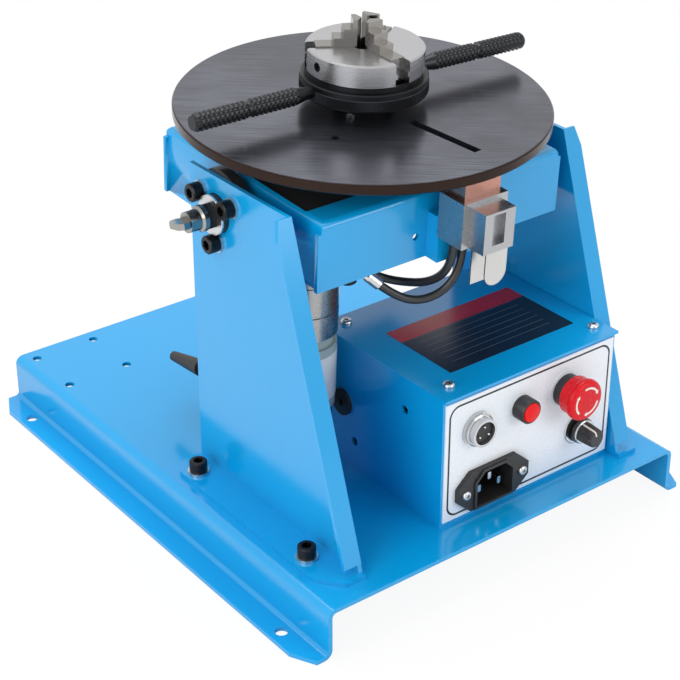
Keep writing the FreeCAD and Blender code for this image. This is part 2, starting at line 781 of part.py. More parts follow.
plate = body("motor_plate")
in_x = -(side_wall - w)
in_v = -(half_depth - w)
lug_x = motor_x + 3.0
lug_v = in_v + 11.1
posts = [(in_x + 12.8, motor_v + 37.1), (in_x + 6.8, in_v + 11.1), (motor_x + 14.5, motor_v - 18.9)]
plate_loop = [(in_x + 1.3, in_v + 3.1), (motor_x + 22.5, in_v + 3.1), (motor_x + 22.5, motor_v + 21.1),
              (motor_x + 6.5, motor_v + 43.1), (in_x + 8.3, motor_v + 43.1), (in_x + 1.3, motor_v + 33.1)]
extrude(plate, "XY_Plane", [plate_loop], plate_low, plate_top)
cut(plate, "XY_Plane", [(motor_x, motor_v, shaft_r + 2.0)], plate_low, plate_top)
cut(plate, "XY_Plane", [(x, y, 2.4) for x, y in posts] + [(lug_x, lug_v, 3.3)], plate_low, plate_top)
lean(plate)

post = Part.makeCylinder(4.0, float(high - w - plate_top))
group("plate_spacers", post, [leaning(x, y, plate_top) for x, y in posts])
post_screw = socket_screw(7.0, 3.5, 4.2, float(d.motor_plate_sheet), 2.5)
flip = Rotation(Vector(1, 0, 0), 180)
group("plate_screws", post_screw, [leaning(x, y, plate_low, flip) for x, y in posts])

gearbox = body("gearbox")
box_r = d.gearbox_size / 2
box_low = plate_low - d.gearbox_length
turn(gearbox, [(shaft_r + d.running_gap, plate_low), (shaft_r + d.running_gap, plate_low - 15.0),
               (0.0, plate_low - 15.0), (0.0, box_low), (box_r, box_low), (box_r, box_low + 14.0),
               (box_r - 0.5, box_low + 14.4), (box_r - 0.5, box_low + 15.2), (box_r, box_low + 15.6),
               (box_r, box_low + 32.0), (box_r - 0.5, box_low + 32.4), (box_r - 0.5, box_low + 33.2),
               (box_r, box_low + 33.6), (box_r, plate_low - 0.8), (box_r - 0.8, plate_low)])
lean(gearbox, motor_x, motor_v)

motor = body("motor")
motor_r = d.motor_size / 2
motor_high = box_low
motor_low = motor_high - d.motor_ring_length - d.motor_length
turn(motor, [(0.0, motor_high), (motor_r - 2.0, motor_high), (motor_r - 2.0, motor_high - d.motor_ring_length),
             (motor_r, motor_high - d.motor_ring_length), (motor_r, motor_low + 1.0), (motor_r - 1.0, motor_low),
             (0.0, motor_low)])
lean(motor, motor_x, motor_v)

cap = body("motor_cap")
cap_low = motor_low - d.motor_cap_length
turn(cap, [(0.0, motor_low), (motor_r - 1.5, motor_low), (motor_r - 1.5, cap_low + 2.5),
           (motor_r - 4.0, cap_low), (0.0, cap_low)])
lean(cap, motor_x, motor_v)

# ---------------------------------------------------------------- chuck
hub_top = d.table_top + d.ring_clear
ring_low = hub_top
ring_top = ring_low + d.ring_height
chuck_low = ring_top + 0.3
chuck_top = chuck_low + d.chuck_body_height
chuck_r = d.chuck_size / 2
core_r = d.scroll_core / 2
hub_r = core_r - 1.0
bore_r = d.chuck_bore / 2
jaw_half = d.jaw_width / 2

chuck = body("chuck_body")
turn(chuck, [(bore_r, d.table_top), (hub_r, d.table_top), (hub_r, ring_low), (core_r, ring_low),
             (core_r, chuck_low), (chuck_r, chuck_low), (chuck_r, chuck_top - 0.8),
             (chuck_r - 0.8, chuck_top), (bore_r, chuck_top)])
slide = d.running_gap
rib_low = chuck_low + d.rib_height
rib_high = rib_low + d.rib_thick
guides = []
for half, z0, z1 in ((jaw_half + slide, chuck_low, rib_low), (jaw_half - d.rib_depth + slide, rib_low, rib_high),
                     (jaw_half + slide, rib_high, chuck_top)):
    reach_out = chuck_r + 1.0
    guides.append(cut(chuck, "XY_Plane", [box_loop(-half, half, -reach_out, -1.0)], z0, z1))
doc.recompute()
guide_pattern = repeat(chuck, guides[0], 3)
guide_pattern.Originals = guides
tommy_hole = cut(chuck, "YZ_Plane", [(0.0, (chuck_low + chuck_top) / 2, d.chuck_pin_hole / 2)], -chuck_r, -bore_r - 3.0)
lean(chuck)

scroll = body("scroll_blank")
PARTS.pop("scroll_blank")
ring_r = d.ring_size / 2
scroll_floor = ring_top - d.scroll_depth
ledge_r = chuck_r + 0.3
turn(scroll, [(core_r + d.running_gap, ring_low), (ring_r - 0.8, ring_low), (ring_r, ring_low + 0.8),
              (ring_r, scroll_floor - 0.9), (ring_r - 0.6, scroll_floor - 0.3), (ledge_r, scroll_floor - 0.3),
              (ledge_r, ring_top), (core_r + d.running_gap, ring_top)])


def spiral_radius(turns):
    """Radius of the scroll groove's middle line, growing inwards from turn to turn."""
    return scroll_start - d_pitch * turns


def spiral(z0, z1, width, first, last):
    """Archimedean groove of one width, between two numbers of turns."""
    steps = int(round((last - first) * 30))
    inner, outer_side = [], []
    for i in range(steps + 1):
        turns = first + (last - first) * i / steps
        a = 2 * math.pi * turns
        for side, r in ((inner, spiral_radius(turns) - width / 2), (outer_side, spiral_radius(turns) + width / 2)):
            side.append(Vector(r * math.cos(a), r * math.sin(a), z0))
    loop = inner + outer_side[::-1]
    return Part.Face(Part.makePolygon(loop + loop[:1])).extrude(Vector(0, 0, z1 - z0))


d_pitch = float(d.scroll_pitch)
scroll_start = float(ledge_r) + d_pitch
groove = doc.addObject("Part::Feature", "scroll_groove")
groove.Shape = spiral(float(scroll_floor), float(ring_top) + 1.0, float(d.groove_width), 0.0,
                      (scroll_start - float(core_r) - float(d.groove_width) / 2 - 0.5) / d_pitch)
grooved = doc.addObject("Part::Cut", "scroll_grooved")
grooved.Base = scroll
grooved.Tool = groove

bar_z = float(ring_low + (scroll_floor - ring_low) / 2) + 0.6
tommy_r = d.tommy_size / 2
tommy_neck = d.tommy_neck / 2
bar_seat = float(core_r) + 9.0
bar = revolved([(0.0, bar_seat), (tommy_neck, bar_seat), (tommy_neck, ring_r), (tommy_neck + 0.4, ring_r + 4.0),
                (tommy_r, ring_r + 12.0), (tommy_r, ring_r + 38.6), (tommy_r - 0.9, ring_r + 39.2),
                (tommy_r - 0.9, ring_r + 40.8), (tommy_r, ring_r + 41.4), (tommy_r, d.tommy_reach - 1.4),
                (tommy_r - 1.4, d.tommy_reach), (0.0, d.tommy_reach)])
tommy_angles = (179.0, -3.0)
drilled = grooved
for count, a in enumerate(tommy_angles):
    drill = doc.addObject("Part::Cylinder", "bar_hole_%d" % count)
    bind(drill, "Radius", tommy_neck)
    drill.Height = 20.0
    drill.Placement = at(bar_seat * math.cos(math.radians(a)), bar_seat * math.sin(math.radians(a)), bar_z,
                         Rotation(Vector(0, 0, 1), a).multiply(TO_RIGHT))
    hole_cut = doc.addObject("Part::Cut", "scroll_cut_%d" % count)
    hole_cut.Base = drilled
    hole_cut.Tool = drill
    drilled = hole_cut
drilled.Label = "scroll_ring"
PARTS["scroll_ring"] = drilled
doc.recompute()
lean(drilled)
group("tommy_bars", bar, [leaning(0, 0, bar_z, Rotation(Vector(0, 0, 1), a).multiply(TO_RIGHT))
                          for a in tommy_angles])


def jaw_blank(label, angle):
    """One stepped jaw along the body's +X axis, with its side grooves and scroll teeth."""
    jaw = body(label + "_blank")
    PARTS.pop(label + "_blank")
    r0 = d.jaw_rest
    st = d.jaw_step
    back = r0 + d.jaw_length
    shoulder = chuck_top + 0.8
    profile = [(r0, chuck_low), (back, chuck_low), (back, shoulder), (r0 + 3 * st, shoulder),
               (r0 + 3 * st, chuck_top + st), (r0 + 2 * st, chuck_top + st), (r0 + 2 * st, chuck_top + 2 * st),
               (r0 + st, chuck_top + 2 * st), (r0 + st, chuck_top + 3 * st), (r0, chuck_top + 3 * st)]
    extrude(jaw, "XZ_Plane", [profile], -jaw_half, jaw_half)
    for side in (-1, 1):
        inner = side * (jaw_half - d.rib_depth)
        edge = side * (jaw_half + 1.0)
        cut(jaw, "XY_Plane", [[(r0 - 1.0, inner), (back + 1.0, inner), (back + 1.0, edge), (r0 - 1.0, edge)]],
            rib_low - slide, rib_high + slide)
    tip = jaw_half / math.sqrt(3)
    noses = []
    for side in (-1, 1):
        noses.append([(r0 - 0.5, side * (jaw_half + 0.5)), (r0 + tip, side * (jaw_half + 0.5)),
                      (r0 + tip, side * jaw_half), (r0 + 0.3, side * 0.5), (r0 - 0.5, side * 0.5)])
    cut(jaw, "XY_Plane", noses, chuck_low, chuck_top + 3 * st)
    teeth = []
    turns = angle / 360.0
    while spiral_radius(turns) > float(back) - 0.5 * d_pitch + float(d.tooth_width) / 2:
        turns += 1.0
    while spiral_radius(turns) > float(core_r) + float(d.groove_width) / 2 + float(d.jaw_travel_in) + 0.9:
        r = spiral_radius(turns)
        half = float(d.tooth_width) / 2
        tooth = ring(r - half, r + half, float(scroll_floor) + 0.3, float(chuck_low))
        block = Part.makeBox(2 * ring_r.number, 2 * float(jaw_half) - 2.0, 10.0,
                             Vector(0, -float(jaw_half) + 1.0, float(scroll_floor)))
        teeth.append(tooth.common(block))
        turns += 1.0
    print(label, "scroll teeth:", len(teeth))
    tooth_part = doc.addObject("Part::Feature", label + "_teeth")
    tooth_part.Shape = Part.makeCompound(teeth)
    joined = doc.addObject("Part::Fuse", label)
    joined.Base = jaw
    joined.Tool = tooth_part
    joined.Label = label
    PARTS[label] = joined
    doc.recompute()
    lean(joined, 0, 0, 0, Rotation(Vector(0, 0, 1), angle))


for number, jaw_angle in enumerate((-90.0, 30.0, 150.0), start=1):
    jaw_blank("jaw_%d" % number, jaw_angle)

# ---------------------------------------------------------------- current brush
brush_x0 = d.brush_left
brush_x1 = d.brush_left + d.brush_width
wall_v = -half_depth
bracket = body("brush_bracket")
extrude(bracket, "XY_Plane", [box_loop(brush_x0 - 2.0, brush_x1 + 2.0, wall_v - d.strip_thick, wall_v)], low, low + 26.0)
lean(bracket)

g = d.holder_wall
front_v = wall_v - d.strip_thick - d.holder_depth
holder = body("brush_holder")
holder_low = d.holder_top - d.holder_height
extrude(holder, "XY_Plane", [box_loop(brush_x0 - g, brush_x1 + g, front_v, wall_v - d.strip_thick)], holder_low, d.holder_top)
brush_back = front_v + g + d.brush_depth
cut(holder, "XY_Plane", [box_loop(brush_x0, brush_x1, front_v + g, brush_back)], holder_low + 3.0, d.holder_top)
lean(holder)

copper = body("copper_brush")
gap = d.running_gap
extrude(copper, "XY_Plane", [box_loop(brush_x0 + gap, brush_x1 - gap, front_v + g + gap, brush_back - gap)],
        holder_low + 8.0, disc_under - 0.02)
lean(copper)

spring_box = body("spring_housing")
box_x0 = brush_x0 + 1.2
box_x1 = box_x0 + 20.0
box_z1 = d.holder_top - 2.0
box_z0 = box_z1 - 22.5
extrude(spring_box, "XY_Plane", [box_loop(box_x0, box_x1, front_v - 12.0, front_v)], box_z0, box_z1)
cut(spring_box, "XZ_Plane", [box_loop(box_x0 + 5.5, box_x0 + 13.5, box_z0 + 4.0, box_z1 - 1.5)],
    front_v - 12.0, front_v - 8.0)
lean(spring_box)

leaf = body("leaf_spring")
leaf_x = box_x0 + 15.25
leaf_r = d.leaf_width / 2
extrude(leaf, "XZ_Plane", [box_loop(leaf_x - leaf_r, leaf_x + leaf_r, box_z0 - 16.5, box_z0)],
        front_v - 6.0, front_v - 5.2)
extrude(leaf, "XZ_Plane", [(leaf_x, box_z0 - 16.5, leaf_r)], front_v - 6.0, front_v - 5.2)
lean(leaf)

contact = body("contact_leaf")
contact_x = box_x0 + 9.6
extrude(contact, "XZ_Plane", [box_loop(contact_x, contact_x + d.leaf_width - 1.1, holder_low - 26.5, holder_low)],
        front_v + 6.0, front_v + 6.8)
lean(contact)


def cord(points, radius):
    """Round cord: straight runs joined by tangent arcs, as large as the shorter run allows."""
    points = [Vector(*[float(c) for c in p]) for p in points]
    pieces = []
    last = points[0]
    for i in range(1, len(points) - 1):
        before = points[i - 1] - points[i]
        after = points[i + 1] - points[i]
        half_turn = (math.pi - before.getAngle(after)) / 2
        arc_r = 0.45 * min(before.Length, after.Length) / math.tan(half_turn)
        print("cord bend: radius %.1f, turn %.0f deg" % (arc_r, math.degrees(2 * half_turn)))
        before.normalize()
        after.normalize()
        start = points[i] + before * (arc_r * math.tan(half_turn))
        end = points[i] + after * (arc_r * math.tan(half_turn))
        middle = points[i] + (before + after).normalize() * (arc_r / math.cos(half_turn) - arc_r)
        pieces.append(Part.makeLine(last, start))
        pieces.append(Part.Arc(start, middle, end).toShape())
        last = end
    pieces.append(Part.makeLine(last, points[-1]))
    profile = Part.Wire([Part.makeCircle(radius, points[0], points[1] - points[0])])
    return Part.Wire(pieces).makePipeShell([profile], True, False)


def between(p, q, r, s, k):
    """A point on the sagging curve from p to s, with q and r as its handles."""
    return p * (1 - k) ** 3 + q * 3 * k * (1 - k) ** 2 + r * 3 * k ** 2 * (1 - k) + s * k ** 3


cable_r = float(d.cable_size) / 2
crimp_wall = 0.8
lug_thick = 1.6
lug_fall = 40.0
lug_bend = 6.5
lug_centre = (float(lug_x), float(lug_v))


def lug(level, towards):
    """Ring terminal under the plate: flat ring, tongue bent down, crimped tube.

    Also gives the cable's end inside the tube, and the way the cable leaves it.
    """
    slope_turn = Rotation(Vector(0, 1, 0), lug_fall)
    tube = ring(cable_r, cable_r + crimp_wall, 5.0, 13.0).fuse(
        Part.makeCylinder(cable_r, 2.0, Vector(0, 0, 5.0)))
    tube.Placement = Placement(Vector(lug_bend, 0, lug_thick / 2), slope_turn.multiply(TO_RIGHT))
    flat = Part.makeBox(lug_bend - 4.0, 7.0, lug_thick, Vector(4.0, -3.5, 0))
    fall = Part.makeBox(6.0, 7.0, lug_thick, Vector(0, -3.5, -lug_thick / 2))
    fall.Placement = Placement(Vector(lug_bend, 0, lug_thick / 2), slope_turn)
    solid = ring(3.2, 6.0, 0.0, lug_thick).fuse([flat, fall, tube]).removeSplitter()
    place = at(lug_centre[0], lug_centre[1], level, Rotation(Vector(0, 0, 1), towards))
    solid.Placement = place
    way = slope_turn.multVec(Vector(1, 0, 0))
    end = place.multVec(Vector(lug_bend, 0, lug_thick / 2) + way * 8.0)
    return solid, end, place.Rotation.multVec(way)


def brush_cable(x, v, end, way):
    start = Vector(x, v, float(holder_low))
    down = Vector(0, 0, -1)
    first = start + down * 16.0
    last = end + way * 15.0
    handles = (first + down * 19.0, last + way * 16.0)
    middle = [between(first, handles[0], handles[1], last, k) for k in (0.34, 0.67)]
    return cord([start, first] + middle + [last, end], cable_r)


lugs = []
cables = []
cable_v = float(front_v) + 13.0
for level, towards, x, v in ((float(plate_low) - lug_thick, 22.0, float(brush_x0) + 4.2, cable_v),
                             (float(plate_low) - 2 * lug_thick, -36.0, float(brush_x0) + 10.7, cable_v)):
    solid, end, way = lug(level, towards)
    lugs.append(solid)
    cables.append(brush_cable(x, v, end, way))
feature("cable_lugs", Part.makeCompound(lugs), leaning(0, 0, 0))
feature("ground_cables", Part.makeCompound(cables), leaning(0, 0, 0))
lug_bolt = socket_screw(d.cap_head, d.cap_head_height, d.cap_shank, float(d.motor_plate_sheet) + 2 * lug_thick,
                        d.cap_hex)
feature("lug_bolt", lug_bolt, leaning(lug_centre[0], lug_centre[1], float(plate_low) - 2 * lug_thick, flip))

# ---------------------------------------------------------------- tilt lever
lever_r = float(d.lever_size) / 2 * 0.8
lever_x = -float(side_wall - w) + lever_r + 0.2
drop = float(d.lever_drop)
back = float(d.lever_back)
lever_path = [(lever_x, back, -2.0), (lever_x, back, -drop), (lever_x, back + 26.0, -drop - 6.0)]
feature("tilt_lever", cord(lever_path, lever_r), leaning(0, 0, 0))
grip_profile = [(0.0, 0.0), (4.9, 0.0), (4.9, 2.0), (2.9, 30.0), (2.0, 31.0), (0.0, 31.0)]
grip = revolved(grip_profile)
fall = math.degrees(math.atan2(6.0, 26.0))
feature("lever_grip", grip, leaning(lever_x, back + 26.0, -drop - 6.0, Rotation(Vector(1, 0, 0), -(90.0 + fall))))

# ---------------------------------------------------------------- control box
bx0 = d.box_left
bx1 = d.box_left + d.box_width
by0 = -d.box_front - d.axis_forward
by1 = by0 + d.box_depth
b = d.box_sheet
bz1 = h + d.box_height
ix, iz = 1.45, 46.3
inlet_x, inlet_z = 13.8, 11.2
inlet_hole = box_loop(ix - inlet_x - 0.3, ix + inlet_x + 0.3, iz - inlet_z - 0.3, iz + inlet_z + 0.3)
case = body("control_box")
block = extrude(case, "XY_Plane", [box_loop(bx0, bx1, by0, by1)], h, bz1 - b)
cut(case, "XY_Plane", [box_loop(bx0 + b, bx1 - b, by0 + b, by1 - b)], h + b, bz1 - b)
panel_y = by0
cut(case, "XZ_Plane", [inlet_hole, (-10.1, 83.3, 8.0), (21.7, 84.6, 4.0),
                       (53.8, 83.8, 11.0), (64.8, 55.3, 3.6)], by0, by0 + b)
cut(case, "YZ_Plane", [(-27.8 - d.axis_forward, 68.0, 6.0), (-80.7 - d.axis_forward, 87.8, 2.5),
                       (-38.0 - d.axis_forward, 46.8, 2.5)], bx0, bx0 + b)
tabs = []
lid_spots = [(bx0 + 11.2, by0 + 9.0), (bx1 - 8.0, by0 + 9.0), (bx0 + 11.2, by1 - 9.0), (bx1 - 8.0, by1 - 9.0)]
for x, y in lid_spots:
    edge = by0 + b if float(y) < float(by0 + d.box_depth / 2) else by1 - b
    if float(y) < float(by0 + d.box_depth / 2):
        tabs.append(box_loop(x - 6.0, x + 6.0, by0 + b - 0.2, y + 6.0))
    else:
        tabs.append(box_loop(x - 6.0, x + 6.0, y - 6.0, by1 - b + 0.2))
extrude(case, "XY_Plane", tabs, bz1 - 2 * b - 0.0, bz1 - b)
cut(case, "XY_Plane", [(x, y, 1.5) for x, y in lid_spots], bz1 - 2 * b, bz1 - b)

lid = body("box_lid")
slab = extrude(lid, "XY_Plane", [box_loop(bx0 - 0.8, bx1, by0 - 2.5, by1)], bz1 - b, bz1)
cut(lid, "XY_Plane", [(x, y, 1.8) for x, y in lid_spots], bz1 - b, bz1)


def pan_screw(head, height, shank, length):
    """Pan head screw with a cross recess: head bottom at z = 0, shank downwards."""
    head_r = float(head) / 2
    solid = Part.makeCylinder(head_r, float(height))
    solid = solid.makeFillet(0.6 * float(height), [solid.Edges[0]])
    solid = solid.fuse(Part.makeCylinder(float(shank) / 2, float(length), Vector(0, 0, -float(length))))
    arm = 0.45 * head_r
    for size in ((2 * arm, 0.32 * arm * 2), (0.32 * arm * 2, 2 * arm)):
        solid = solid.cut(Part.makeBox(size[0], size[1], float(height),
                                       Vector(-size[0] / 2, -size[1] / 2, 0.45 * float(height))))
    return solid.removeSplitter()


lid_screw = pan_screw(6.4, 2.4, 3.0, 7.0)
group("lid_screws", lid_screw, [at(x, y, bz1) for x, y in lid_spots])

overlay = body("front_overlay")
skin = d.overlay_thick
front = by0 - skin
extrude(overlay, "XZ_Plane", [box_loop(bx0 + 1.5, bx1 - 1.5, h + 2.5, bz1 - b - 2.5)], front, by0)
cut(overlay, "XZ_Plane", [inlet_hole, (-10.1, 83.3, 8.0), (21.7, 84.6, 4.0),
                          (53.8, 83.8, 11.0), (64.8, 55.3, 3.6)], front, by0)

inlet = body("power_inlet")
hex_shape = [(ix - 12.5, iz - 10.0), (ix + 12.5, iz - 10.0), (ix + 12.5, iz + 5.0), (ix + 7.0, iz + 10.0),
             (ix - 7.0, iz + 10.0), (ix - 12.5, iz + 5.0)]
flange_shape = [(ix - 25.0, iz - 4.0), (ix - 16.0, iz - 12.0), (ix + 16.0, iz - 12.0), (ix + 25.0, iz - 4.0),
                (ix + 25.0, iz + 4.0), (ix + 16.0, iz + 12.0), (ix - 16.0, iz + 12.0), (ix - 25.0, iz + 4.0)]
extrude(inlet, "XZ_Plane", [flange_shape], front - 3.0, front)
extrude(inlet, "XZ_Plane", [box_loop(ix - inlet_x, ix + inlet_x, iz - inlet_z, iz + inlet_z)], front, front + 24.0)
cut(inlet, "XZ_Plane", [hex_shape], front - 3.0, front + 17.0)
extrude(inlet, "XZ_Plane", [box_loop(ix - 1.0, ix + 1.0, iz + 0.5, iz + 4.5),
                            box_loop(ix - 8.0, ix - 6.0, iz - 5.0, iz - 1.0),
                            box_loop(ix + 6.0, ix + 8.0, iz - 5.0, iz - 1.0)], front + 2.0, front + 18.0)
screw_y = front - 3.0
cut(inlet, "XZ_Plane", [(ix - d.socket_pitch / 2, iz, 1.6), (ix + d.socket_pitch / 2, iz, 1.6)], front - 3.0, front)
cut(overlay, "XZ_Plane", [(ix - d.socket_pitch / 2, iz, 1.6), (ix + d.socket_pitch / 2, iz, 1.6)], front, by0)
cut(case, "XZ_Plane", [(ix - d.socket_pitch / 2, iz, 1.6), (ix + d.socket_pitch / 2, iz, 1.6)], by0, by0 + b)
group("inlet_screws", pan_screw(5.6, 2.0, 3.0, 7.0),
      [at(ix + sx * d.socket_pitch / 2, screw_y, iz, TO_FRONT) for sx in (-1, 1)])


def panel(label, x, z, profile, depth=0.0):
    """Round panel part: profile of (radius, distance out from the overlay)."""
    part = body(label)
    turn(part, profile)
    stand(part, x, front + depth, z, TO_FRONT)
    return part


pedal = panel("pedal_connector", -10.1, 83.3,
              [(0.0, -12.0), (7.9, -12.0), (7.9, 0.0), (10.0, 0.0), (10.0, 2.0), (8.0, 2.0), (8.0, 7.0),
               (6.6, 7.0), (6.6, 0.5), (0.0, 0.5)])
lamp = panel("lamp_bezel", 21.7, 84.6,
             [(0.0, -14.0), (3.9, -14.0), (3.9, 0.0), (7.0, 0.0), (7.0, 1.4), (6.2, 2.4), (5.4, 2.4), (5.4, 0.6),
              (0.0, 0.6)])
lens = panel("lamp_lens", 21.7, 84.6,
             [(0.0, 0.6), (5.4, 0.6), (5.4, 2.6), (4.6, 4.0), (2.8, 5.0), (0.0, 5.4)])
mush = d.mushroom_size / 2
collar = panel("stop_collar", 53.8, 83.8,
               [(5.0, -20.0), (10.9, -20.0), (10.9, 0.0), (14.0, 0.0), (14.0, 1.0), (13.0, 1.8), (5.0, 1.8)])
plunger = panel("stop_plunger", 53.8, 83.8,
                [(0.0, -16.0), (4.95, -16.0), (4.95, 6.0), (3.0, 6.0), (3.0, 11.0), (0.0, 11.0)])
head = panel("stop_head", 53.8, 83.8,
             [(3.05, 6.2), (mush - 3.0, 6.2), (mush, 8.6), (mush, 12.0), (mush - 1.0, 14.0), (mush - 3.2, 15.6),
              (mush - 6.5, 16.5), (0.0, 16.9), (0.0, 11.2), (3.05, 11.2)])
pot = panel("speed_collar", 64.8, 55.3,
            [(3.05, -9.0), (3.5, -9.0), (3.5, 0.0), (7.8, 0.0), (7.8, 1.2), (4.6, 1.2), (4.6, 3.6), (3.05, 3.6)])
knob_r = d.knob_size / 2
knob = panel("speed_knob", 64.8, 55.3,
             [(0.0, -8.0), (3.0, -8.0), (3.0, 4.0), (knob_r, 4.0), (knob_r - 0.6, 15.0), (knob_r - 1.4, 15.8),
              (0.0, 16.0)])
grommet = body("side_grommet")
turn(grommet, [(2.0, -3.0), (5.8, -3.0), (5.8, 0.0), (7.8, 0.0), (7.8, 2.0), (2.0, 2.0)])
stand(grommet, bx0, -27.8 - float(d.axis_forward), 68.0, TO_LEFT)

# ---------------------------------------------------------------- checks and export
doc.recompute()
for thing in doc.Objects:
    bad = [word for word in thing.State if word in ("Invalid", "Error")]
    if bad:
        raise RuntimeError("%s (%s): %s" % (thing.Name, thing.TypeId, thing.State))
for thing in doc.Objects:
    if thing.TypeId != "PartDesign::Pocket":
        continue
    before = thing.BaseFeature.Shape.Volume
    if before - thing.Shape.Volume < 1e-3:
        raise RuntimeError("%s cuts nothing" % thing.Name)
for name, part in PARTS.items():
    shape = part.Shape
    if shape.isNull() or not shape.isValid() or not shape.Solids:
        raise RuntimeError("bad shape: " + name)
    shape.exportStep("parts/%s.step" % name)
    size = shape.BoundBox
    print("%-18s solids %2d  x %7.1f %7.1f  y %7.1f %7.1f  z %7.1f %7.1f" % (
        name, len(shape.Solids), size.XMin, size.XMax, size.YMin, size.YMax, size.ZMin, size.ZMax))
print("pieces:", len(PARTS))
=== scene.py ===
# %% [markdown]
# # A bench welding positioner, dressed for the camera
# The CAD model is the frame: every plate, screw and gear already sits where it belongs.
# This lesson gives those pieces their finishes and adds what CAD leaves out, such as knurling,
# printed film and labels. Loading comes first.

# %% Load the frame
import json
import math

import bmesh
import bpy
from mathutils import Matrix, Vector


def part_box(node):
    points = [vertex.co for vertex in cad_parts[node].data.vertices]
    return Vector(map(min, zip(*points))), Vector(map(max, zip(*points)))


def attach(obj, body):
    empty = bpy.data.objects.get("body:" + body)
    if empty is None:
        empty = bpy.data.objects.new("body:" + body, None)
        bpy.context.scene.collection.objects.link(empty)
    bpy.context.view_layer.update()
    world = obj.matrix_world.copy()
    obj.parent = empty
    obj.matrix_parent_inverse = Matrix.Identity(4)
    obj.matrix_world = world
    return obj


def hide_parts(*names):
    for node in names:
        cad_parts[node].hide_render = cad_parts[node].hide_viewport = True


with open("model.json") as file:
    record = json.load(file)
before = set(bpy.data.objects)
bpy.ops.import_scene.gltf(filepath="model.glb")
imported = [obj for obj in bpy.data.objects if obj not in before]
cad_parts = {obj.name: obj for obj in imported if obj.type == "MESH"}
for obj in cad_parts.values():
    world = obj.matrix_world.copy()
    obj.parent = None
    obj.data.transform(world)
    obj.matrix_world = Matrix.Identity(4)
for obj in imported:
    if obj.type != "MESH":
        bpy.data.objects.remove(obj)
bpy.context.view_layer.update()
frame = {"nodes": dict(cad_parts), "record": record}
nodes = frame["nodes"]
MM = 0.001

# %% [markdown]
# ## Where things are
# Everything that tilts was drawn level about the tilt axis and then leaned forward a little.
# The joints in the frame's record say where that axis is and which way the table's spindle points,
# so the same lean can be worked out here instead of being typed in twice.

# %% The tilt axis and the lean
joints = {joint["name"]: joint for joint in frame["record"]["behaviour"]["joints"]}
tilt_axis = Vector(joints["tilt"]["pos_m"])
spindle_up = Vector(joints["table_spin"]["axis"]).normalized()
lean_angle = math.atan2(-spindle_up.y, spindle_up.z)
LEAN = Matrix.Translation(tilt_axis) @ Matrix.Rotation(lean_angle, 4, "X")
print("lean in degrees", round(math.degrees(lean_angle), 2))


# %% [markdown]
# ## Camera, floor and light
# A product shot uses a long lens, a pale sweep and large soft lamps. The camera looks a little
# down on the left front corner, so the table, the clamp and the control panel all show.

# %% Camera
def place_camera(azimuth, elevation, roll, distance, target, focal, shift):
    a, e, r = (math.radians(value) for value in (azimuth, elevation, roll))
    back = Vector((math.sin(a) * math.cos(e), -math.cos(a) * math.cos(e), math.sin(e)))
    right = Vector((math.cos(a), math.sin(a), 0))
    up = back.cross(right)
    turned_right = right * math.cos(r) + up * math.sin(r)
    turned_up = up * math.cos(r) - right * math.sin(r)
    data = bpy.data.cameras.new("camera")
    data.lens = focal
    data.shift_x, data.shift_y = shift
    data.clip_start = 0.05
    data.clip_end = 20
    camera = bpy.data.objects.new("camera", data)
    spot = Vector(target) + back * distance
    camera.matrix_world = Matrix(((turned_right.x, turned_up.x, back.x, spot.x),
                                  (turned_right.y, turned_up.y, back.y, spot.y),
                                  (turned_right.z, turned_up.z, back.z, spot.z), (0, 0, 0, 1)))
    bpy.context.collection.objects.link(camera)
    bpy.context.scene.camera = camera
    return camera


camera = place_camera(azimuth=-37.99, elevation=27.63, roll=0.21, distance=0.99582,
                      target=(-0.00019, -0.01869, 0.10977), focal=93.24, shift=(-0.0134, -0.0702))
print("camera at", [round(c, 3) for c in camera.matrix_world.translation])


# %% Lamps
def soft_lamp(name, place, target, size, power):
    data = bpy.data.lights.new(name, "AREA")
    data.shape = "RECTANGLE"
    data.size, data.size_y = size
    data.energy = power
    lamp = bpy.data.objects.new(name, data)
    lamp.location = place
    lamp.rotation_euler = (Vector(target) - Vector(place)).to_track_quat("-Z", "Y").to_euler()
    bpy.context.collection.objects.link(lamp)
    return lamp


middle = Vector((0, 0, 0.13))
soft_lamp("overhead", (0.1, 0.35, 1.5), middle, (1.3, 1.0), 17)
soft_lamp("left_bank", (-1.35, -0.45, 0.75), middle, (0.9, 1.1), 10)
soft_lamp("front_fill", (0.6, -1.5, 0.7), middle, (1.0, 0.8), 7)
bpy.context.scene.view_settings.view_transform = "Standard"
print("lamps", len(bpy.data.lights))


# %% [markdown]
# ## Shader sums as Python
# A finish is a chain of nodes. Wiring each one by hand hides the idea behind it, so a small class
# wraps a socket and lets Python's own operators add the Math nodes. Any other node comes from one
# method, which takes the node's type, its settings and its inputs. The mix node holds one pair of
# sockets for each kind of data under the same names, so its colour sockets are picked by number.

# %% A socket that does sums
NOISE_ROUGHNESS = 0.55
MIX_FACTOR, MIX_FIRST_COLOUR, MIX_SECOND_COLOUR = 0, 6, 7
MIX_COLOUR_OUT = 2


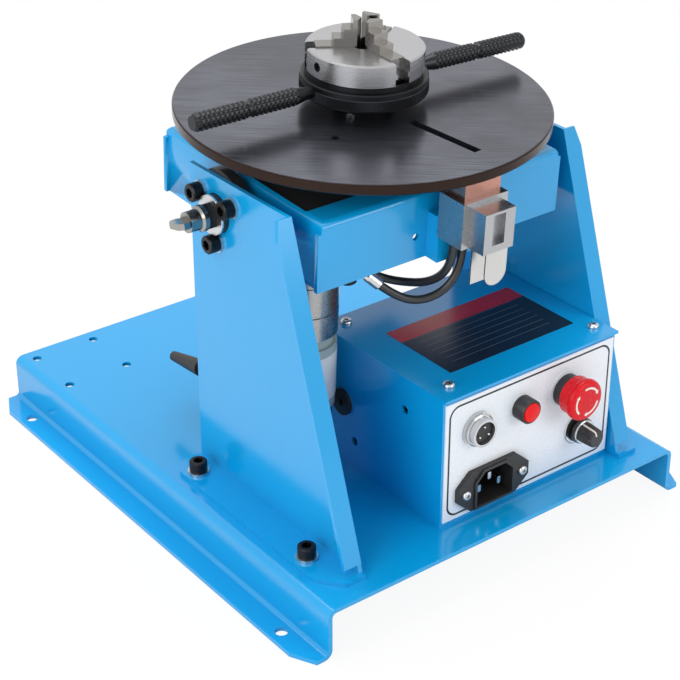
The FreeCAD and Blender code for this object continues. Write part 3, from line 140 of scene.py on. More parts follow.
class Wire:
    def __init__(self, finish, socket):
        self.finish = finish
        self.socket = socket

    def sum(self, operation, first, second):
        """A Math node on two values."""
        return self.finish.node("ShaderNodeMath", {"operation": operation}, {0: first, 1: second})

    def __add__(self, other):
        return self.sum("ADD", self, other)

    def __radd__(self, other):
        return self.sum("ADD", other, self)

    def __sub__(self, other):
        return self.sum("SUBTRACT", self, other)

    def __rsub__(self, other):
        return self.sum("SUBTRACT", other, self)

    def __mul__(self, other):
        return self.sum("MULTIPLY", self, other)

    def __rmul__(self, other):
        return self.sum("MULTIPLY", other, self)

    def __pow__(self, other):
        return self.sum("POWER", self, other)

    def __mod__(self, other):
        return self.sum("FLOORED_MODULO", self, other)

    def __lt__(self, other):
        return self.sum("LESS_THAN", self, other)

    def __gt__(self, other):
        return self.sum("GREATER_THAN", self, other)

    def __abs__(self):
        return self.sum("ABSOLUTE", self, 0.0)

    def above(self, other):
        """The larger of the two."""
        return self.sum("MAXIMUM", self, other)

    def below(self, other):
        """The smaller of the two."""
        return self.sum("MINIMUM", self, other)


class Nodes:
    """A node tree with one method that makes any node."""

    def __init__(self, tree):
        self.tree = tree

    def node(self, kind, settings, values, output=0):
        made = self.tree.nodes.new(kind)
        for name, value in settings.items():
            if name == "stops":
                self.set_stops(made.color_ramp, value)
            else:
                setattr(made, name, value)
        for key, value in values.items():
            self.feed(made.inputs[key], value)
        return Wire(self, made.outputs[output])

    def set_stops(self, ramp, stops):
        while len(ramp.elements) < len(stops):
            ramp.elements.new(0.5)
        for element, (position, colour) in zip(ramp.elements, stops):
            element.position = position
            element.color = (*colour, 1) if len(colour) == 3 else colour

    def feed(self, socket, value):
        if isinstance(value, Wire):
            self.tree.links.new(value.socket, socket)
        elif hasattr(socket.default_value, "__len__") and len(socket.default_value) == 4 and len(value) == 3:
            socket.default_value = (*value, 1)
        else:
            socket.default_value = value


class Finish(Nodes):
    """One material, its Principled shader, and the few steps that most finishes share."""

    def __init__(self, name):
        self.material = bpy.data.materials.new(name)
        self.material.use_nodes = True
        super().__init__(self.material.node_tree)
        self.shader = self.tree.nodes["Principled BSDF"]
        self.place = self.node("ShaderNodeTexCoord", {}, {}, "Object")

    def set(self, **values):
        for name, value in values.items():
            self.feed(self.shader.inputs[name.replace("_", " ")], value)
        return self

    def axes(self, vector=None):
        vector = vector or self.place
        split = self.tree.nodes.new("ShaderNodeSeparateXYZ")
        self.feed(split.inputs[0], vector)
        return [Wire(self, split.outputs[i]) for i in range(3)]

    def level(self):
        """Coordinates of the tilting group, level again and counted from the tilt axis."""
        turned = self.node("ShaderNodeVectorRotate", {"rotation_type": "X_AXIS"},
                           {"Vector": self.place, "Center": tuple(tilt_axis), "Angle": -lean_angle})
        return self.node("ShaderNodeVectorMath", {"operation": "SUBTRACT"}, {0: turned, 1: tuple(tilt_axis)})

    def noise(self, scale, detail, vector=None):
        return self.node("ShaderNodeTexNoise", {}, {"Vector": vector or self.place, "Scale": scale,
                                                    "Detail": detail, "Roughness": NOISE_ROUGHNESS}, "Fac")

    def mix(self, factor, first, second):
        """Mixes two colours, through the mix node's colour sockets."""
        made = self.tree.nodes.new("ShaderNodeMix")
        made.data_type = "RGBA"
        self.feed(made.inputs[MIX_FACTOR], factor)
        self.feed(made.inputs[MIX_FIRST_COLOUR], first)
        self.feed(made.inputs[MIX_SECOND_COLOUR], second)
        return Wire(self, made.outputs[MIX_COLOUR_OUT])

    def remap(self, value, low, high, to_low, to_high):
        return self.node("ShaderNodeMapRange", {}, {"Value": value, "From Min": low, "From Max": high,
                                                    "To Min": to_low, "To Max": to_high})

    def bump(self, height, distance, strength):
        values = {"Height": height, "Distance": distance, "Strength": strength}
        return self.set(Normal=self.node("ShaderNodeBump", {}, values))


print("helpers ready")

# %% [markdown]
# ## A world in two strengths
# The object is lit by a plain half-bright world. What the camera and the reflections see of that
# world is pure white, which is what a cut-out product shot stands on. The Light Path node tells the
# two apart.

# %% World
world = bpy.data.worlds.new("studio")
bpy.context.scene.world = world
world.use_nodes = True
sky = Nodes(world.node_tree)
seen = sky.node("ShaderNodeLightPath", {}, {}, "Is Camera Ray")
mirrored = sky.node("ShaderNodeLightPath", {}, {}, "Is Glossy Ray")
through = sky.node("ShaderNodeLightPath", {}, {}, "Is Transmission Ray")
SKY_LEVEL = 0.55
background = world.node_tree.nodes["Background"]
background.inputs["Color"].default_value = (1, 1, 1, 1)
sky.feed(background.inputs["Strength"],
         SKY_LEVEL + (seen + mirrored + through).below(1.0) * (1.0 - SKY_LEVEL))
print("world lights at", SKY_LEVEL)


# %% [markdown]
# A CAD piece keeps its mesh and only changes its material, so one helper dresses several by name.

# %% Dressing CAD pieces
def dress(finish, *names):
    for name in names:
        data = nodes[name].data
        data.materials.clear()
        data.materials.append(finish.material)
    print(finish.material.name, "on", len(names))


# %% [markdown]
# ## Powder coat
# The folded sheets wear one bright blue powder coat. Powder melts into a hard gloss with a faint
# orange peel, and it thins out at sharp corners. Noise in two sizes gives the peel, a slow noise
# moves the colour a little, and the gloss drops where the film is uneven.

# %% Blue coat
def powder_coat(name, colour, gloss=0.17, peel=0.00002):
    coat = Finish(name)
    slow = coat.noise(9.0, 2.0)
    fine = coat.noise(420.0, 2.0)
    dust = coat.noise(1500.0, 1.0)
    darker = tuple(c * 0.90 for c in colour)
    coat.set(Base_Color=coat.mix(slow, darker, colour))
    coat.set(Roughness=coat.remap(slow * 0.7 + dust * 0.3, 0.3, 0.7, gloss - 0.04, gloss + 0.05))
    coat.shader.inputs["Coat Roughness"].default_value = 0.12
    coat.shader.inputs["Coat Weight"].default_value = 0.25
    coat.bump(fine * 0.8 + dust * 0.2, peel, 0.16)
    return coat


SKY_BLUE = (0.002, 0.348, 0.735)
blue = powder_coat("blue_powder_coat", SKY_BLUE)
dress(blue, "base_plate", "left_upright", "right_upright", "tilt_tray", "control_box", "box_lid",
      "brush_bracket")
plate_blue = powder_coat("plate_coat", SKY_BLUE, 0.30)
dress(plate_blue, "motor_plate")

# %% [markdown]
# ## Steels
# Screws are black oxide over steel, washers are zinc plated, and the jaws are ground. All of them
# are one family: a slow noise moves the colour a little, and a fine one moves the gloss.


# %% Steel family
def plated(name, colour, rough=0.32, speckle=700.0, metal=1.0, depth=0.00002):
    steel = Finish(name)
    cloud = steel.noise(35.0, 3.0)
    grit = steel.noise(speckle, 2.0)
    steel.set(Base_Color=steel.mix(cloud, tuple(c * 0.86 for c in colour), colour), Metallic=metal)
    steel.set(Roughness=steel.remap(grit, 0.3, 0.7, rough - 0.04, rough + 0.05))
    return steel.bump(grit, depth, 0.05)


black_oxide = plated("black_oxide", (0.022, 0.023, 0.026), 0.36, 900.0, 0.85)
dress(black_oxide, "foot_bolts", "bush_screws", "stud_nuts", "plate_screws", "lug_bolt")
zinc = plated("zinc_plate", (0.62, 0.63, 0.64), 0.27)
dress(zinc, "foot_washers", "foot_nuts", "bush_washers", "trunnion_studs", "stud_washers", "spindle_nut",
      "plate_spacers", "lid_screws", "inlet_screws")
chrome = plated("chrome_plate", (0.62, 0.63, 0.64), 0.16, 300.0)
dress(chrome, "pedal_connector")
nickel = plated("worn_nickel", (0.34, 0.33, 0.31), 0.22, 400.0)
dress(nickel, "wing_nut")
tinned = plated("tinned_copper", (0.66, 0.66, 0.65), 0.30, 500.0)
dress(tinned, "cable_lugs")
spring_steel = plated("spring_steel", (0.60, 0.60, 0.58), 0.22, 400.0)
dress(spring_steel, "leaf_spring", "contact_leaf")
ground = plated("ground_steel", (0.40, 0.40, 0.39), 0.27)
dress(ground, "spindle", "bearing_housing", "spindle_bearings", "table_gear", "pinion", "gearbox")

# %% [markdown]
# ## The disc
# The disc is ground flat, blackened and oiled. Grinding leaves long straight scratches one way
# across the face, so the noise is stretched hard along that way. Oil and handling leave cloudy
# patches in the gloss, and the cut rim is a warmer brown-black.

# %% Blackened disc
disc_steel = Finish("blackened_disc")
level = disc_steel.level()
dx, dy, _ = disc_steel.axes(level)
GRIND_COS, GRIND_SIN = 0.788, 0.615
along = dx * GRIND_COS - dy * GRIND_SIN
across = dx * GRIND_SIN + dy * GRIND_COS
stretched = disc_steel.node("ShaderNodeCombineXYZ", {}, {0: along * 25.0, 1: across * 1500.0})
scratch = disc_steel.noise(1.0, 5.0, stretched)
smudge = disc_steel.noise(15.0, 4.0, level)
radius = (dx * dx + dy * dy) ** 0.5
outside = disc_steel.remap(radius, 0.1000, 0.1006, 0.0, 1.0)
face = disc_steel.mix(disc_steel.remap(scratch, 0.35, 0.65, 0.0, 1.0),
                       (0.088, 0.092, 0.116), (0.190, 0.198, 0.238))
face = disc_steel.mix(disc_steel.remap(smudge, 0.35, 0.65, 0.0, 0.6), face, (0.045, 0.047, 0.056))
disc_steel.set(Base_Color=disc_steel.mix(outside, face, (0.030, 0.018, 0.014)), Metallic=0.9)
disc_steel.set(Roughness=disc_steel.remap(smudge * 0.6 + scratch * 0.4, 0.3, 0.7, 0.16, 0.30))
disc_steel.bump(scratch, 0.00001, 0.25)
dress(disc_steel, "table_disc")

# %% Chuck: bright turned steel
chuck_steel = Finish("bright_turned_steel")
level = chuck_steel.level()
cx, cy, cz = chuck_steel.axes(level)
radius = (cx * cx + cy * cy) ** 0.5
RINGS_PER_METRE = 3800.0
ring_place = {0: radius * RINGS_PER_METRE, 1: cz * RINGS_PER_METRE, 2: 0.0}
rings = chuck_steel.noise(1.0, 3.0, chuck_steel.node("ShaderNodeCombineXYZ", {}, ring_place))
chuck_steel.set(Base_Color=chuck_steel.mix(rings, (0.36, 0.36, 0.37), (0.52, 0.52, 0.53)), Metallic=1.0)
chuck_steel.set(Roughness=chuck_steel.remap(rings, 0.3, 0.7, 0.20, 0.34)).bump(rings, 0.00002, 0.3)
dress(chuck_steel, "chuck_body")
jaw_steel = plated("ground_jaw", (0.30, 0.29, 0.275), 0.20, 1200.0)
dress(jaw_steel, "jaw_1", "jaw_2", "jaw_3")
dress(black_oxide, "scroll_ring")

# %% Plastics, rubber and copper
def moulded(name, colour, rough=0.42, grain=1400.0, depth=0.00003):
    plastic = Finish(name)
    fine = plastic.noise(grain, 2.0)
    slow = plastic.noise(40.0, 2.0)
    plastic.set(Base_Color=plastic.mix(slow, tuple(c * 0.90 for c in colour), colour))
    plastic.set(Roughness=plastic.remap(fine, 0.3, 0.7, rough - 0.03, rough + 0.04))
    return plastic.bump(fine, depth, 0.12)


black_plastic = moulded("black_moulding", (0.018, 0.018, 0.019))
dress(black_plastic, "left_bush", "right_bush", "motor_cap", "power_inlet", "stop_plunger", "speed_collar")
rubber = moulded("black_rubber", (0.016, 0.016, 0.017), 0.55, 800.0, 0.00005)
dress(rubber, "lever_grip", "side_grommet")
dress(black_oxide, "tilt_lever")
red_plastic = moulded("red_moulding", (0.66, 0.006, 0.014), 0.26, 600.0, 0.00001)
red_plastic.shader.inputs["Specular IOR Level"].default_value = 0.2
motor_can = moulded("pale_can", (0.36, 0.45, 0.45), 0.30)
dress(motor_can, "motor")
aluminium = plated("milled_aluminium", (0.44, 0.45, 0.46), 0.30, 500.0)
dress(aluminium, "brush_holder", "spring_housing")
copper = plated("machined_copper", (0.52, 0.27, 0.215), 0.30, 500.0)
dress(copper, "copper_brush")

# %% [markdown]
# ## Printed film on the control panel
# The panel wears a white plastic film with a black rounded frame line near its edge. The line is a
# shader mask: the distance to a rounded rectangle is a short sum of the panel's own coordinates, and
# a narrow band of that distance is black ink.

# %% Film
film = Finish("printed_film")
px, _, pz = film.axes()
low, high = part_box("front_overlay")
panel_front = low[1]
centre_x, centre_z = (low[0] + high[0]) / 2, (low[2] + high[2]) / 2
half_x, half_z = (high[0] - low[0]) / 2, (high[2] - low[2]) / 2
corner, inset, line = 0.0065, 0.0028, 0.0012
SOFT_EDGE = 0.00012


def rounded_distance(x, z, wide, tall, round_by):
    """Distance outside a rounded rectangle; negative inside it."""
    across = abs(x) - (wide - round_by)
    upward = abs(z) - (tall - round_by)
    outside = (across.above(0.0) * across.above(0.0) + upward.above(0.0) * upward.above(0.0)) ** 0.5
    return outside + across.above(upward).below(0.0) - round_by


def band(finish, value, middle, width):
    """One inside a band of the given width, with a soft edge."""
    return finish.remap(abs(value - middle), width / 2 - SOFT_EDGE, width / 2 + SOFT_EDGE, 1.0, 0.0)


to_frame = rounded_distance(px - centre_x, pz - centre_z, half_x - inset, half_z - inset, corner)
frame_line = band(film, to_frame, 0.0, line)
grain = film.noise(700.0, 2.0)
white_film = film.mix(grain, (0.76, 0.80, 0.85), (0.79, 0.83, 0.88))
film.set(Base_Color=film.mix(frame_line, white_film, (0.004, 0.004, 0.005)))
film.set(Roughness=film.remap(grain, 0.3, 0.7, 0.26, 0.32)).bump(grain, 0.00001, 0.08)
dress(film, "front_overlay")

# %% [markdown]
# ## Making pieces
# Round parts are turned: a list of radius and height pairs is spun into rings of faces. A ripple
# function may move each radius, which gives knurls and flutes as real geometry. Flat parts are an
# outline pushed between two heights. Every piece is drawn in millimetres about its own axis, then
# placed by one matrix: on the control panel, or on the leaning group.

# %% Turned and flat forms
def turned(profile, steps=64, ripple=None, closed=False):
    shape = bmesh.new()
    rows = []
    for number, (radius, height) in enumerate(profile):
        if radius < 1e-6:
            rows.append([shape.verts.new((0, 0, height))])
            continue
        row = []
        for k in range(steps):
            angle = 2 * math.pi * k / steps
            r = ripple(k, number, radius) if ripple else radius
            row.append(shape.verts.new((r * math.cos(angle), r * math.sin(angle), height)))
        rows.append(row)
    pairs = list(zip(rows, rows[1:])) + ([(rows[-1], rows[0])] if closed else [])
    for low, high in pairs:
        for k in range(steps):
            n = (k + 1) % steps
            if len(low) == 1:
                shape.faces.new((low[0], high[n], high[k]))
            elif len(high) == 1:
                shape.faces.new((low[k], low[n], high[0]))
            else:
                shape.faces.new((low[k], low[n], high[n], high[k]))
    return shape


def slab(outline, low, high, hole=None):
    """A flat form between two heights; a hole has as many points as the outline."""
    shape = bmesh.new()
    loops = [[shape.verts.new((x, y, z)) for x, y in points]
             for z in (low, high) for points in ([outline] + ([hole] if hole else []))]
    count = len(outline)
    if hole:
        low_out, low_in, high_out, high_in = loops
        walls = ((low_out, high_out), (low_in, high_in), (low_out, low_in), (high_out, high_in))
    else:
        low_out, high_out = loops
        walls = ((low_out, high_out),)
        shape.faces.new(low_out)
        shape.faces.new(high_out)
    for first, second in walls:
        for k in range(count):
            n = (k + 1) % count
            shape.faces.new((first[k], first[n], second[n], second[k]))
    return shape


def rounded(x0, x1, y0, y1, radius, steps=6):
    points = []
    for cx, cy, start in ((x1 - radius, y1 - radius, 0), (x0 + radius, y1 - radius, 90),
                          (x0 + radius, y0 + radius, 180), (x1 - radius, y0 + radius, 270)):
        for k in range(steps + 1):
            a = math.radians(start + 90 * k / steps)
            points.append((cx + radius * math.cos(a), cy + radius * math.sin(a)))
    return points


def moved(shape, matrix):
    bmesh.ops.transform(shape, matrix=matrix, verts=shape.verts)
    return shape


def joined(shapes):
    whole = bmesh.new()
    for shape in shapes:
        part = bpy.data.meshes.new("part")
        shape.to_mesh(part)
        shape.free()
        whole.from_mesh(part)
        bpy.data.meshes.remove(part)
    return whole


print("forms ready")


# %% Places and the piece itself
def on_panel(node):
    """Local x to the right, y up and z out of the control panel, centred on a CAD node."""
    low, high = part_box(node)
    spot = ((low[0] + high[0]) / 2, panel_front, (low[2] + high[2]) / 2)
    return Matrix(((1, 0, 0, spot[0]), (0, 0, -1, spot[1]), (0, 1, 0, spot[2]), (0, 0, 0, 1)))


def make_piece(name, shape, place, body, finish, replaced=(), sharp=35):
    moved(shape, place @ Matrix.Scale(MM, 4))
    bmesh.ops.recalc_face_normals(shape, faces=shape.faces)
    mesh = bpy.data.meshes.new(name)
    shape.to_mesh(mesh)
    shape.free()
    mesh.shade_smooth()
    mesh.set_sharp_from_angle(angle=math.radians(sharp))
    mesh.materials.append(finish.material)
    piece = bpy.data.objects.new(name, mesh)
    bpy.context.collection.objects.link(piece)
    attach(piece, body)
    if replaced:
        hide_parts(*replaced)
    print(name, len(mesh.polygons), "faces")
    return piece


# %% [markdown]
# ## Knurled chuck bars
# The two bars that turn the chuck's ring are diamond knurled in two stretches with a plain groove
# between them. A diamond knurl is two sets of spiral grooves that cross. On a grid of points that
# height is simple: fold the sum and the difference of the two counts, and keep the lower one.

# %% Bars
BAR_AROUND = 44
BAR_STEP = 0.70
KNURL_DEEP = 0.55
PLAIN = -1


def fold(count):
    """0, 1, 2, 1 and again: the height across one groove."""
    count = count % 4
    return count if count < 3 else 4 - count


def bar_profile():
    plain_start = [(0.0, 24.0), (3.0, 24.0), (3.0, 34.0), (3.4, 38.0), (4.55, 44.5)]
    rows = [(r, z, PLAIN) for r, z in plain_start]
    for start, end in ((45.6, 72.4), (76.0, 105.0)):
        count = int(round((end - start) / BAR_STEP))
        rows += [(5.0, start + BAR_STEP * j, j) for j in range(count + 1)]
        if end < 80:
            rows += [(4.1, 73.2, PLAIN), (4.1, 74.8, PLAIN)]
    return rows + [(4.6, 105.6, PLAIN), (3.7, 107.0, PLAIN), (0.0, 107.0, PLAIN)]


bar_rows = bar_profile()


def knurl(k, number, radius):
    j = bar_rows[number][2]
    if j == PLAIN:
        return radius
    return radius - KNURL_DEEP + KNURL_DEEP * min(fold(k + j), fold(k - j)) / 2


bars = []
BAR_HEIGHT = 52.8
for angle in (179.0, -3.0):
    bar = turned([(r, z) for r, z, _ in bar_rows], BAR_AROUND, knurl)
    out = Matrix.Rotation(math.radians(angle), 4, "Z") @ Matrix.Rotation(math.radians(90), 4, "Y")
    bars.append(moved(bar, Matrix.Translation((0, 0, BAR_HEIGHT)) @ out))
bar_steel = plated("knurled_black", (0.030, 0.031, 0.034), 0.30, 900.0, 0.85)
make_piece("knurled_bars", joined(bars), LEAN, "scroll", bar_steel, ["tommy_bars"], 12)

# %% [markdown]
# The ring of the chuck has a straight knurl round its edge, so that it can be spun by hand. It is a
# thin toothed band around the plain ring, with every second step pushed in.

# %% Straight knurl of the ring
RING_R = 34.0
KNURL_STEPS = 340


def straight(k, number, radius):
    return radius - (0.32 if k % 2 and radius > RING_R + 0.1 else 0.0)


band_rows = [(33.7, 48.3), (34.05, 48.3), (34.4, 48.7), (34.4, 53.6), (34.05, 54.0), (33.7, 54.0)]
make_piece("ring_knurl", turned(band_rows, KNURL_STEPS, straight, True), LEAN, "scroll", black_oxide,
           (), 20)

# %% [markdown]
# Between the disc and the ring sits a short black collar on the chuck's hub. A small zinc-plated
# set screw with a hexagon recess locks it. The recess is drawn round, as a short step down in the screw's
# turned profile.

# %% Hub collar and its screw
collar_rows = [(14.1, 40.1), (16.2, 40.1), (16.2, 45.6), (15.4, 46.6), (14.1, 46.6)]
make_piece("hub_collar", turned(collar_rows, 72, None, True), LEAN, "table", black_oxide)


def set_screw(radius, tall):
    recess = radius * 0.55
    rows = [(radius, 0.0), (radius, tall - 0.3), (radius - 0.3, tall), (recess, tall)]
    return turned(rows + [(recess, tall - 1.0), (0.0, tall - 1.0)], 30)


screw_turn = Matrix.Rotation(math.radians(208.0), 4, "Z") @ Matrix.Rotation(math.radians(90), 4, "Y")
screw_place = Matrix.Translation((0, 0, 43.0)) @ screw_turn @ Matrix.Translation((0, 0, 15.6))
make_piece("collar_screw", moved(set_screw(2.3, 1.2), screw_place), LEAN, "table", zinc)

# %% [markdown]
# ## Trunnion washers
# A broad zinc-plated washer sits between each bush and the stud's nut. Its edge is a little round
# from the stamping, so the profile has small bevels.

# %% Washers on both sides
washer_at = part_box("right_bush")[1][0] / MM
washer_rows = [(4.05, 0.05), (10.7, 0.05), (11.0, 0.35), (11.0, 1.3), (10.7, 1.65), (4.05, 1.65)]
washers = []
for side in (-1, 1):
    face_out = Matrix.Rotation(math.radians(90 * side), 4, "Y") @ Matrix.Translation((0, 0, washer_at))
    washers.append(moved(turned(washer_rows, 64, None, True), face_out))
make_piece("broad_washers", joined(washers), LEAN, "tilt_frame", zinc, ["stud_washers"])

# %% [markdown]
# ## The tray's open top
# The tray is a shallow frame: behind its front lip the top is open at the motor's side, and the
# dark inside shows under the disc's edge. The CAD tray is copied, and a Boolean modifier takes one
# rounded window out of the copy, which then stands for the CAD node. What lies inside the real tray
# is hidden, so a near-black sheet under the window stands in for the shade inside it: painted shade, not a
# part of the real tray.

# %% Window in the tray
def windowed(node, outline, low, high, name):
    source = nodes[node]
    welded = bmesh.new()
    welded.from_mesh(source.data)
    bmesh.ops.remove_doubles(welded, verts=welded.verts, dist=0.000002)
    mesh = bpy.data.meshes.new(name)
    welded.to_mesh(mesh)
    welded.free()
    mesh.materials.append(source.data.materials[0])
    copy = bpy.data.objects.new(name, mesh)
    bpy.context.collection.objects.link(copy)
    cutter_shape = slab(outline, low, high)
    moved(cutter_shape, LEAN @ Matrix.Scale(MM, 4))
    bmesh.ops.recalc_face_normals(cutter_shape, faces=cutter_shape.faces)
    cutter_mesh = bpy.data.meshes.new("cutter")
    cutter_shape.to_mesh(cutter_mesh)
    cutter_shape.free()
    cutter = bpy.data.objects.new("cutter", cutter_mesh)
    bpy.context.collection.objects.link(cutter)
    taking = copy.modifiers.new("window", "BOOLEAN")
    taking.operation = "DIFFERENCE"
    taking.solver = "EXACT"
    taking.object = cutter
    bpy.context.view_layer.update()
    done = bpy.data.meshes.new_from_object(copy.evaluated_get(bpy.context.evaluated_depsgraph_get()))
    done.shade_smooth()
    done.set_sharp_from_angle(angle=math.radians(30))
    copy.modifiers.clear()
    copy.data = done
    bpy.data.objects.remove(cutter)
    return copy


window = rounded(-76.7, -41.0, -53.7, 6.0, 1.5)
open_tray = windowed("tilt_tray", window, 14.0, 22.0, "open_tray")
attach(open_tray, "tilt_frame")
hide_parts("tilt_tray")
# A near-black sheet just under the tray's top stands in for the shade inside the tray: painted shade.
painted_shade_finish = moulded("painted_shade_black", (0.003, 0.003, 0.004), 0.85, 700.0)
shade_sheet = slab(rounded(-76.4, -37.5, -57.5, 9.0, 1.0), 15.4, 16.5)
make_piece("tray_shade_sheet", shade_sheet, LEAN, "tilt_frame", painted_shade_finish)
print("tray faces", len(nodes["tilt_tray"].data.polygons), "to", len(open_tray.data.polygons))

# %% [markdown]
# ## Ground cables
# Two limp black cables hang from the brush holder and rise to ring terminals beside the motor. A
# cable leaves the holder straight down and enters its terminal along the slope of its tongue, so
# both ends are straight stretches. Between them it sags on a Bezier curve, which gives two more
# control points. Lengths are in millimetres from the tilt axis, in the level pose.

# %% Route of a cable
HOLDER_UNDERSIDE = (-84.0, -3.5)
TERMINAL = Vector((-51.5, -56.0, 0.0))
TONGUE_BEND = 6.5
TONGUE_SLOPE = math.radians(40)
HALF_SHEET = 0.8
TUBE_REACH = 8.0
DROP, DROP_PULL = 16.0, 19.0
RISE, RISE_PULL = 15.0, 16.0
SAG_SHARES = (0.34, 0.67)


def bezier(a, b, c, d, share):
    rest = 1 - share
    return a * rest**3 + b * 3 * rest**2 * share + c * 3 * rest * share**2 + d * share**3


def cable_route(start_x, towards, terminal_low):
    """Six control points, leaned with the tray, in metres, to a hundredth of a millimetre."""
    turn = Matrix.Rotation(math.radians(towards), 3, "Z")
    way = turn @ Vector((math.cos(TONGUE_SLOPE), 0, -math.sin(TONGUE_SLOPE)))
    start = Vector((start_x, *HOLDER_UNDERSIDE))
    down = Vector((0, 0, -1))
    first = start + down * DROP
    end = TERMINAL + turn @ Vector((TONGUE_BEND, 0, terminal_low + HALF_SHEET)) + way * TUBE_REACH
    last = end + way * RISE
    sag = [bezier(first, first + down * DROP_PULL, last + way * RISE_PULL, last, share)
           for share in SAG_SHARES]
    leaned = [LEAN @ (point * MM) for point in (start, first, *sag, last, end)]
    return [tuple(round(value, 5) for value in point) for point in leaned]


print("terminal at", tuple(TERMINAL))

# %% Cables
cable_coat = moulded("cable_coat", (0.020, 0.020, 0.021), 0.34, 900.0, 0.00003)
CABLE_SIZE = 0.0045
ROUTES = {"rear_cable": (0.082, cable_route(-5.0, 22.0, -20.0)),
          "front_cable": (0.077, cable_route(1.5, -36.0, -21.6))}
for name, (length, route) in ROUTES.items():
    curve = bpy.data.curves.new(name, "CURVE")
    curve.dimensions = "3D"
    line = curve.splines.new("NURBS")
    line.points.add(len(route) - 1)
    for point, place in zip(line.points, route):
        point.co = (*place, 1)
    line.order_u = 3
    line.use_endpoint_u = True
    curve.resolution_u = 16
    curve.bevel_depth = CABLE_SIZE / 2
    curve.bevel_resolution = 6
    curve.materials.append(cable_coat.material)
    cable = bpy.data.objects.new(name, curve)
    bpy.context.collection.objects.link(cable)
    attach(cable, "tilt_frame")
    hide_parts("ground_cables")
    print(name, "about", length, "m")

# %% [markdown]
# ## Stop button
# A short black neck carries a red mushroom head. The head is a cup: its skirt slides over the neck
# when it is pushed. Three pale arcs with arrow tips say which way it twists free. The neck is
# narrower than the CAD collar's hole in the film, so a thin disc of the film's finish closes the
# gap around it. That disc is not a part of the real button.

# %% Neck and head
neck_rows = [(5.1, 0.0), (9.3, 0.0), (9.3, 5.5), (9.0, 5.9), (5.1, 5.9)]
seal_rows = [(5.1, -0.7), (11.4, -0.7), (11.4, 0.25), (5.1, 0.25)]
make_piece("stop_seal", turned(seal_rows, 72, None, True), on_panel("stop_collar"), "stand", film)
make_piece("stop_neck", turned(neck_rows, 72, None, True), on_panel("stop_collar"), "stand", black_plastic,
           ["stop_collar"])
head_rows = [(0.0, 11.1), (10.1, 11.1), (10.2, 6.5), (10.4, 6.2), (10.8, 6.4), (11.0, 7.0), (10.9, 11.2),
             (11.1, 11.9), (11.8, 12.6), (12.0, 13.2), (12.0, 14.6), (11.7, 15.6), (11.0, 16.4), (10.0, 16.8),
             (9.2, 16.9), (0.0, 16.9)]
make_piece("mushroom_head", turned(head_rows, 96), on_panel("stop_head"), "stop_button", red_plastic,
           ["stop_head"], 40)


def arrow(start, sweep, inner=7.3, outer=8.5, steps=16):
    """A curved arrow, clockwise, with a tip a little wider than its shaft."""
    tip = math.radians(15)
    a0, a1 = math.radians(start), math.radians(start - sweep)
    turn = [a0 + (a1 + tip - a0) * k / steps for k in range(steps + 1)]
    points = [(outer * math.cos(a), outer * math.sin(a)) for a in turn]
    middle_r = (inner + outer) / 2
    points.append(((outer + 0.7) * math.cos(a1 + tip), (outer + 0.7) * math.sin(a1 + tip)))
    points.append((middle_r * math.cos(a1), middle_r * math.sin(a1)))
    points.append(((inner - 0.7) * math.cos(a1 + tip), (inner - 0.7) * math.sin(a1 + tip)))
    points += [(inner * math.cos(a), inner * math.sin(a)) for a in reversed(turn)]
    return slab(points, 16.8, 17.0)


white_ink = moulded("pale_ink", (0.80, 0.76, 0.70), 0.45, 1200.0, 0.00001)
make_piece("twist_arrows", joined([arrow(start, 88) for start in (105, 225, 345)]), on_panel("stop_head"),
           "stop_button", white_ink)

# %% [markdown]
# ## Lamp
# The lamp is a black tube that stands out from the panel, with a domed red lens set in its end.

# %% Tube and lens
tube_rows = [(0.0, 0.0), (6.9, 0.0), (6.9, 7.3), (6.5, 7.9), (5.9, 8.0), (5.7, 7.4), (0.0, 7.2)]
make_piece("lamp_tube", turned(tube_rows, 72), on_panel("lamp_bezel"), "stand", black_plastic,
           ["lamp_bezel"])
lens_rows = [(0.0, 7.25), (5.5, 7.25), (5.5, 8.3), (5.2, 8.8), (4.2, 9.0), (4.0, 8.9), (2.4, 9.3),
             (0.0, 9.5)]
lamp_red = moulded("lamp_red", (0.78, 0.004, 0.006), 0.16, 500.0, 0.00001)
lamp_red.shader.inputs["Specular IOR Level"].default_value = 0.2
make_piece("lamp_dome", turned(lens_rows, 72), on_panel("lamp_bezel"), "stand", lamp_red,
           ["lamp_lens"])

# %% [markdown]
# ## Speed knob
# The knob has a round skirt, a thin bright ring and a fluted, slightly tapered grip. A white strip
# runs up the grip and over its end as the pointer. Under it lies a thin metal plate.

# %% Knob
FLUTES = 18
FLUTE_DEEP = 0.24
KNOB_STEPS = 144


def fluted(k, number, radius):
    grip = 3 < number < 7
    return radius + (FLUTE_DEEP * math.cos(2 * math.pi * k * FLUTES / KNOB_STEPS) if grip else 0.0)


knob_rows = [(0.0, 3.8), (7.4, 3.8), (7.4, 5.4), (6.9, 5.9), (5.7, 6.0), (5.4, 11.0), (5.1, 15.3),
             (4.6, 15.9), (0.0, 16.0)]
make_piece("fluted_knob", turned(knob_rows, KNOB_STEPS, fluted), on_panel("speed_knob"), "speed_dial",
           black_plastic, ["speed_knob"])
ring_rows = [(5.0, 5.8), (7.05, 5.8), (7.05, 6.3), (6.7, 6.6), (5.0, 6.6)]
make_piece("knob_ring", turned(ring_rows, 72, None, True), on_panel("speed_knob"), "speed_dial", chrome)
strip = [(5.3, 6.7), (6.15, 6.7), (5.55, 15.3), (4.9, 16.1), (2.2, 16.2), (2.2, 15.9), (4.5, 15.7),
         (5.0, 15.0)]
pointer = moved(slab(strip, -0.4, 0.4), Matrix.Rotation(math.radians(108), 4, "Z")
                @ Matrix.Rotation(math.radians(90), 4, "X"))
make_piece("knob_pointer", pointer, on_panel("speed_knob"), "speed_dial", white_ink)
plate_rows = [(7.9, 0.02), (9.6, 0.02), (9.6, 0.6), (9.2, 0.9), (7.9, 0.9)]
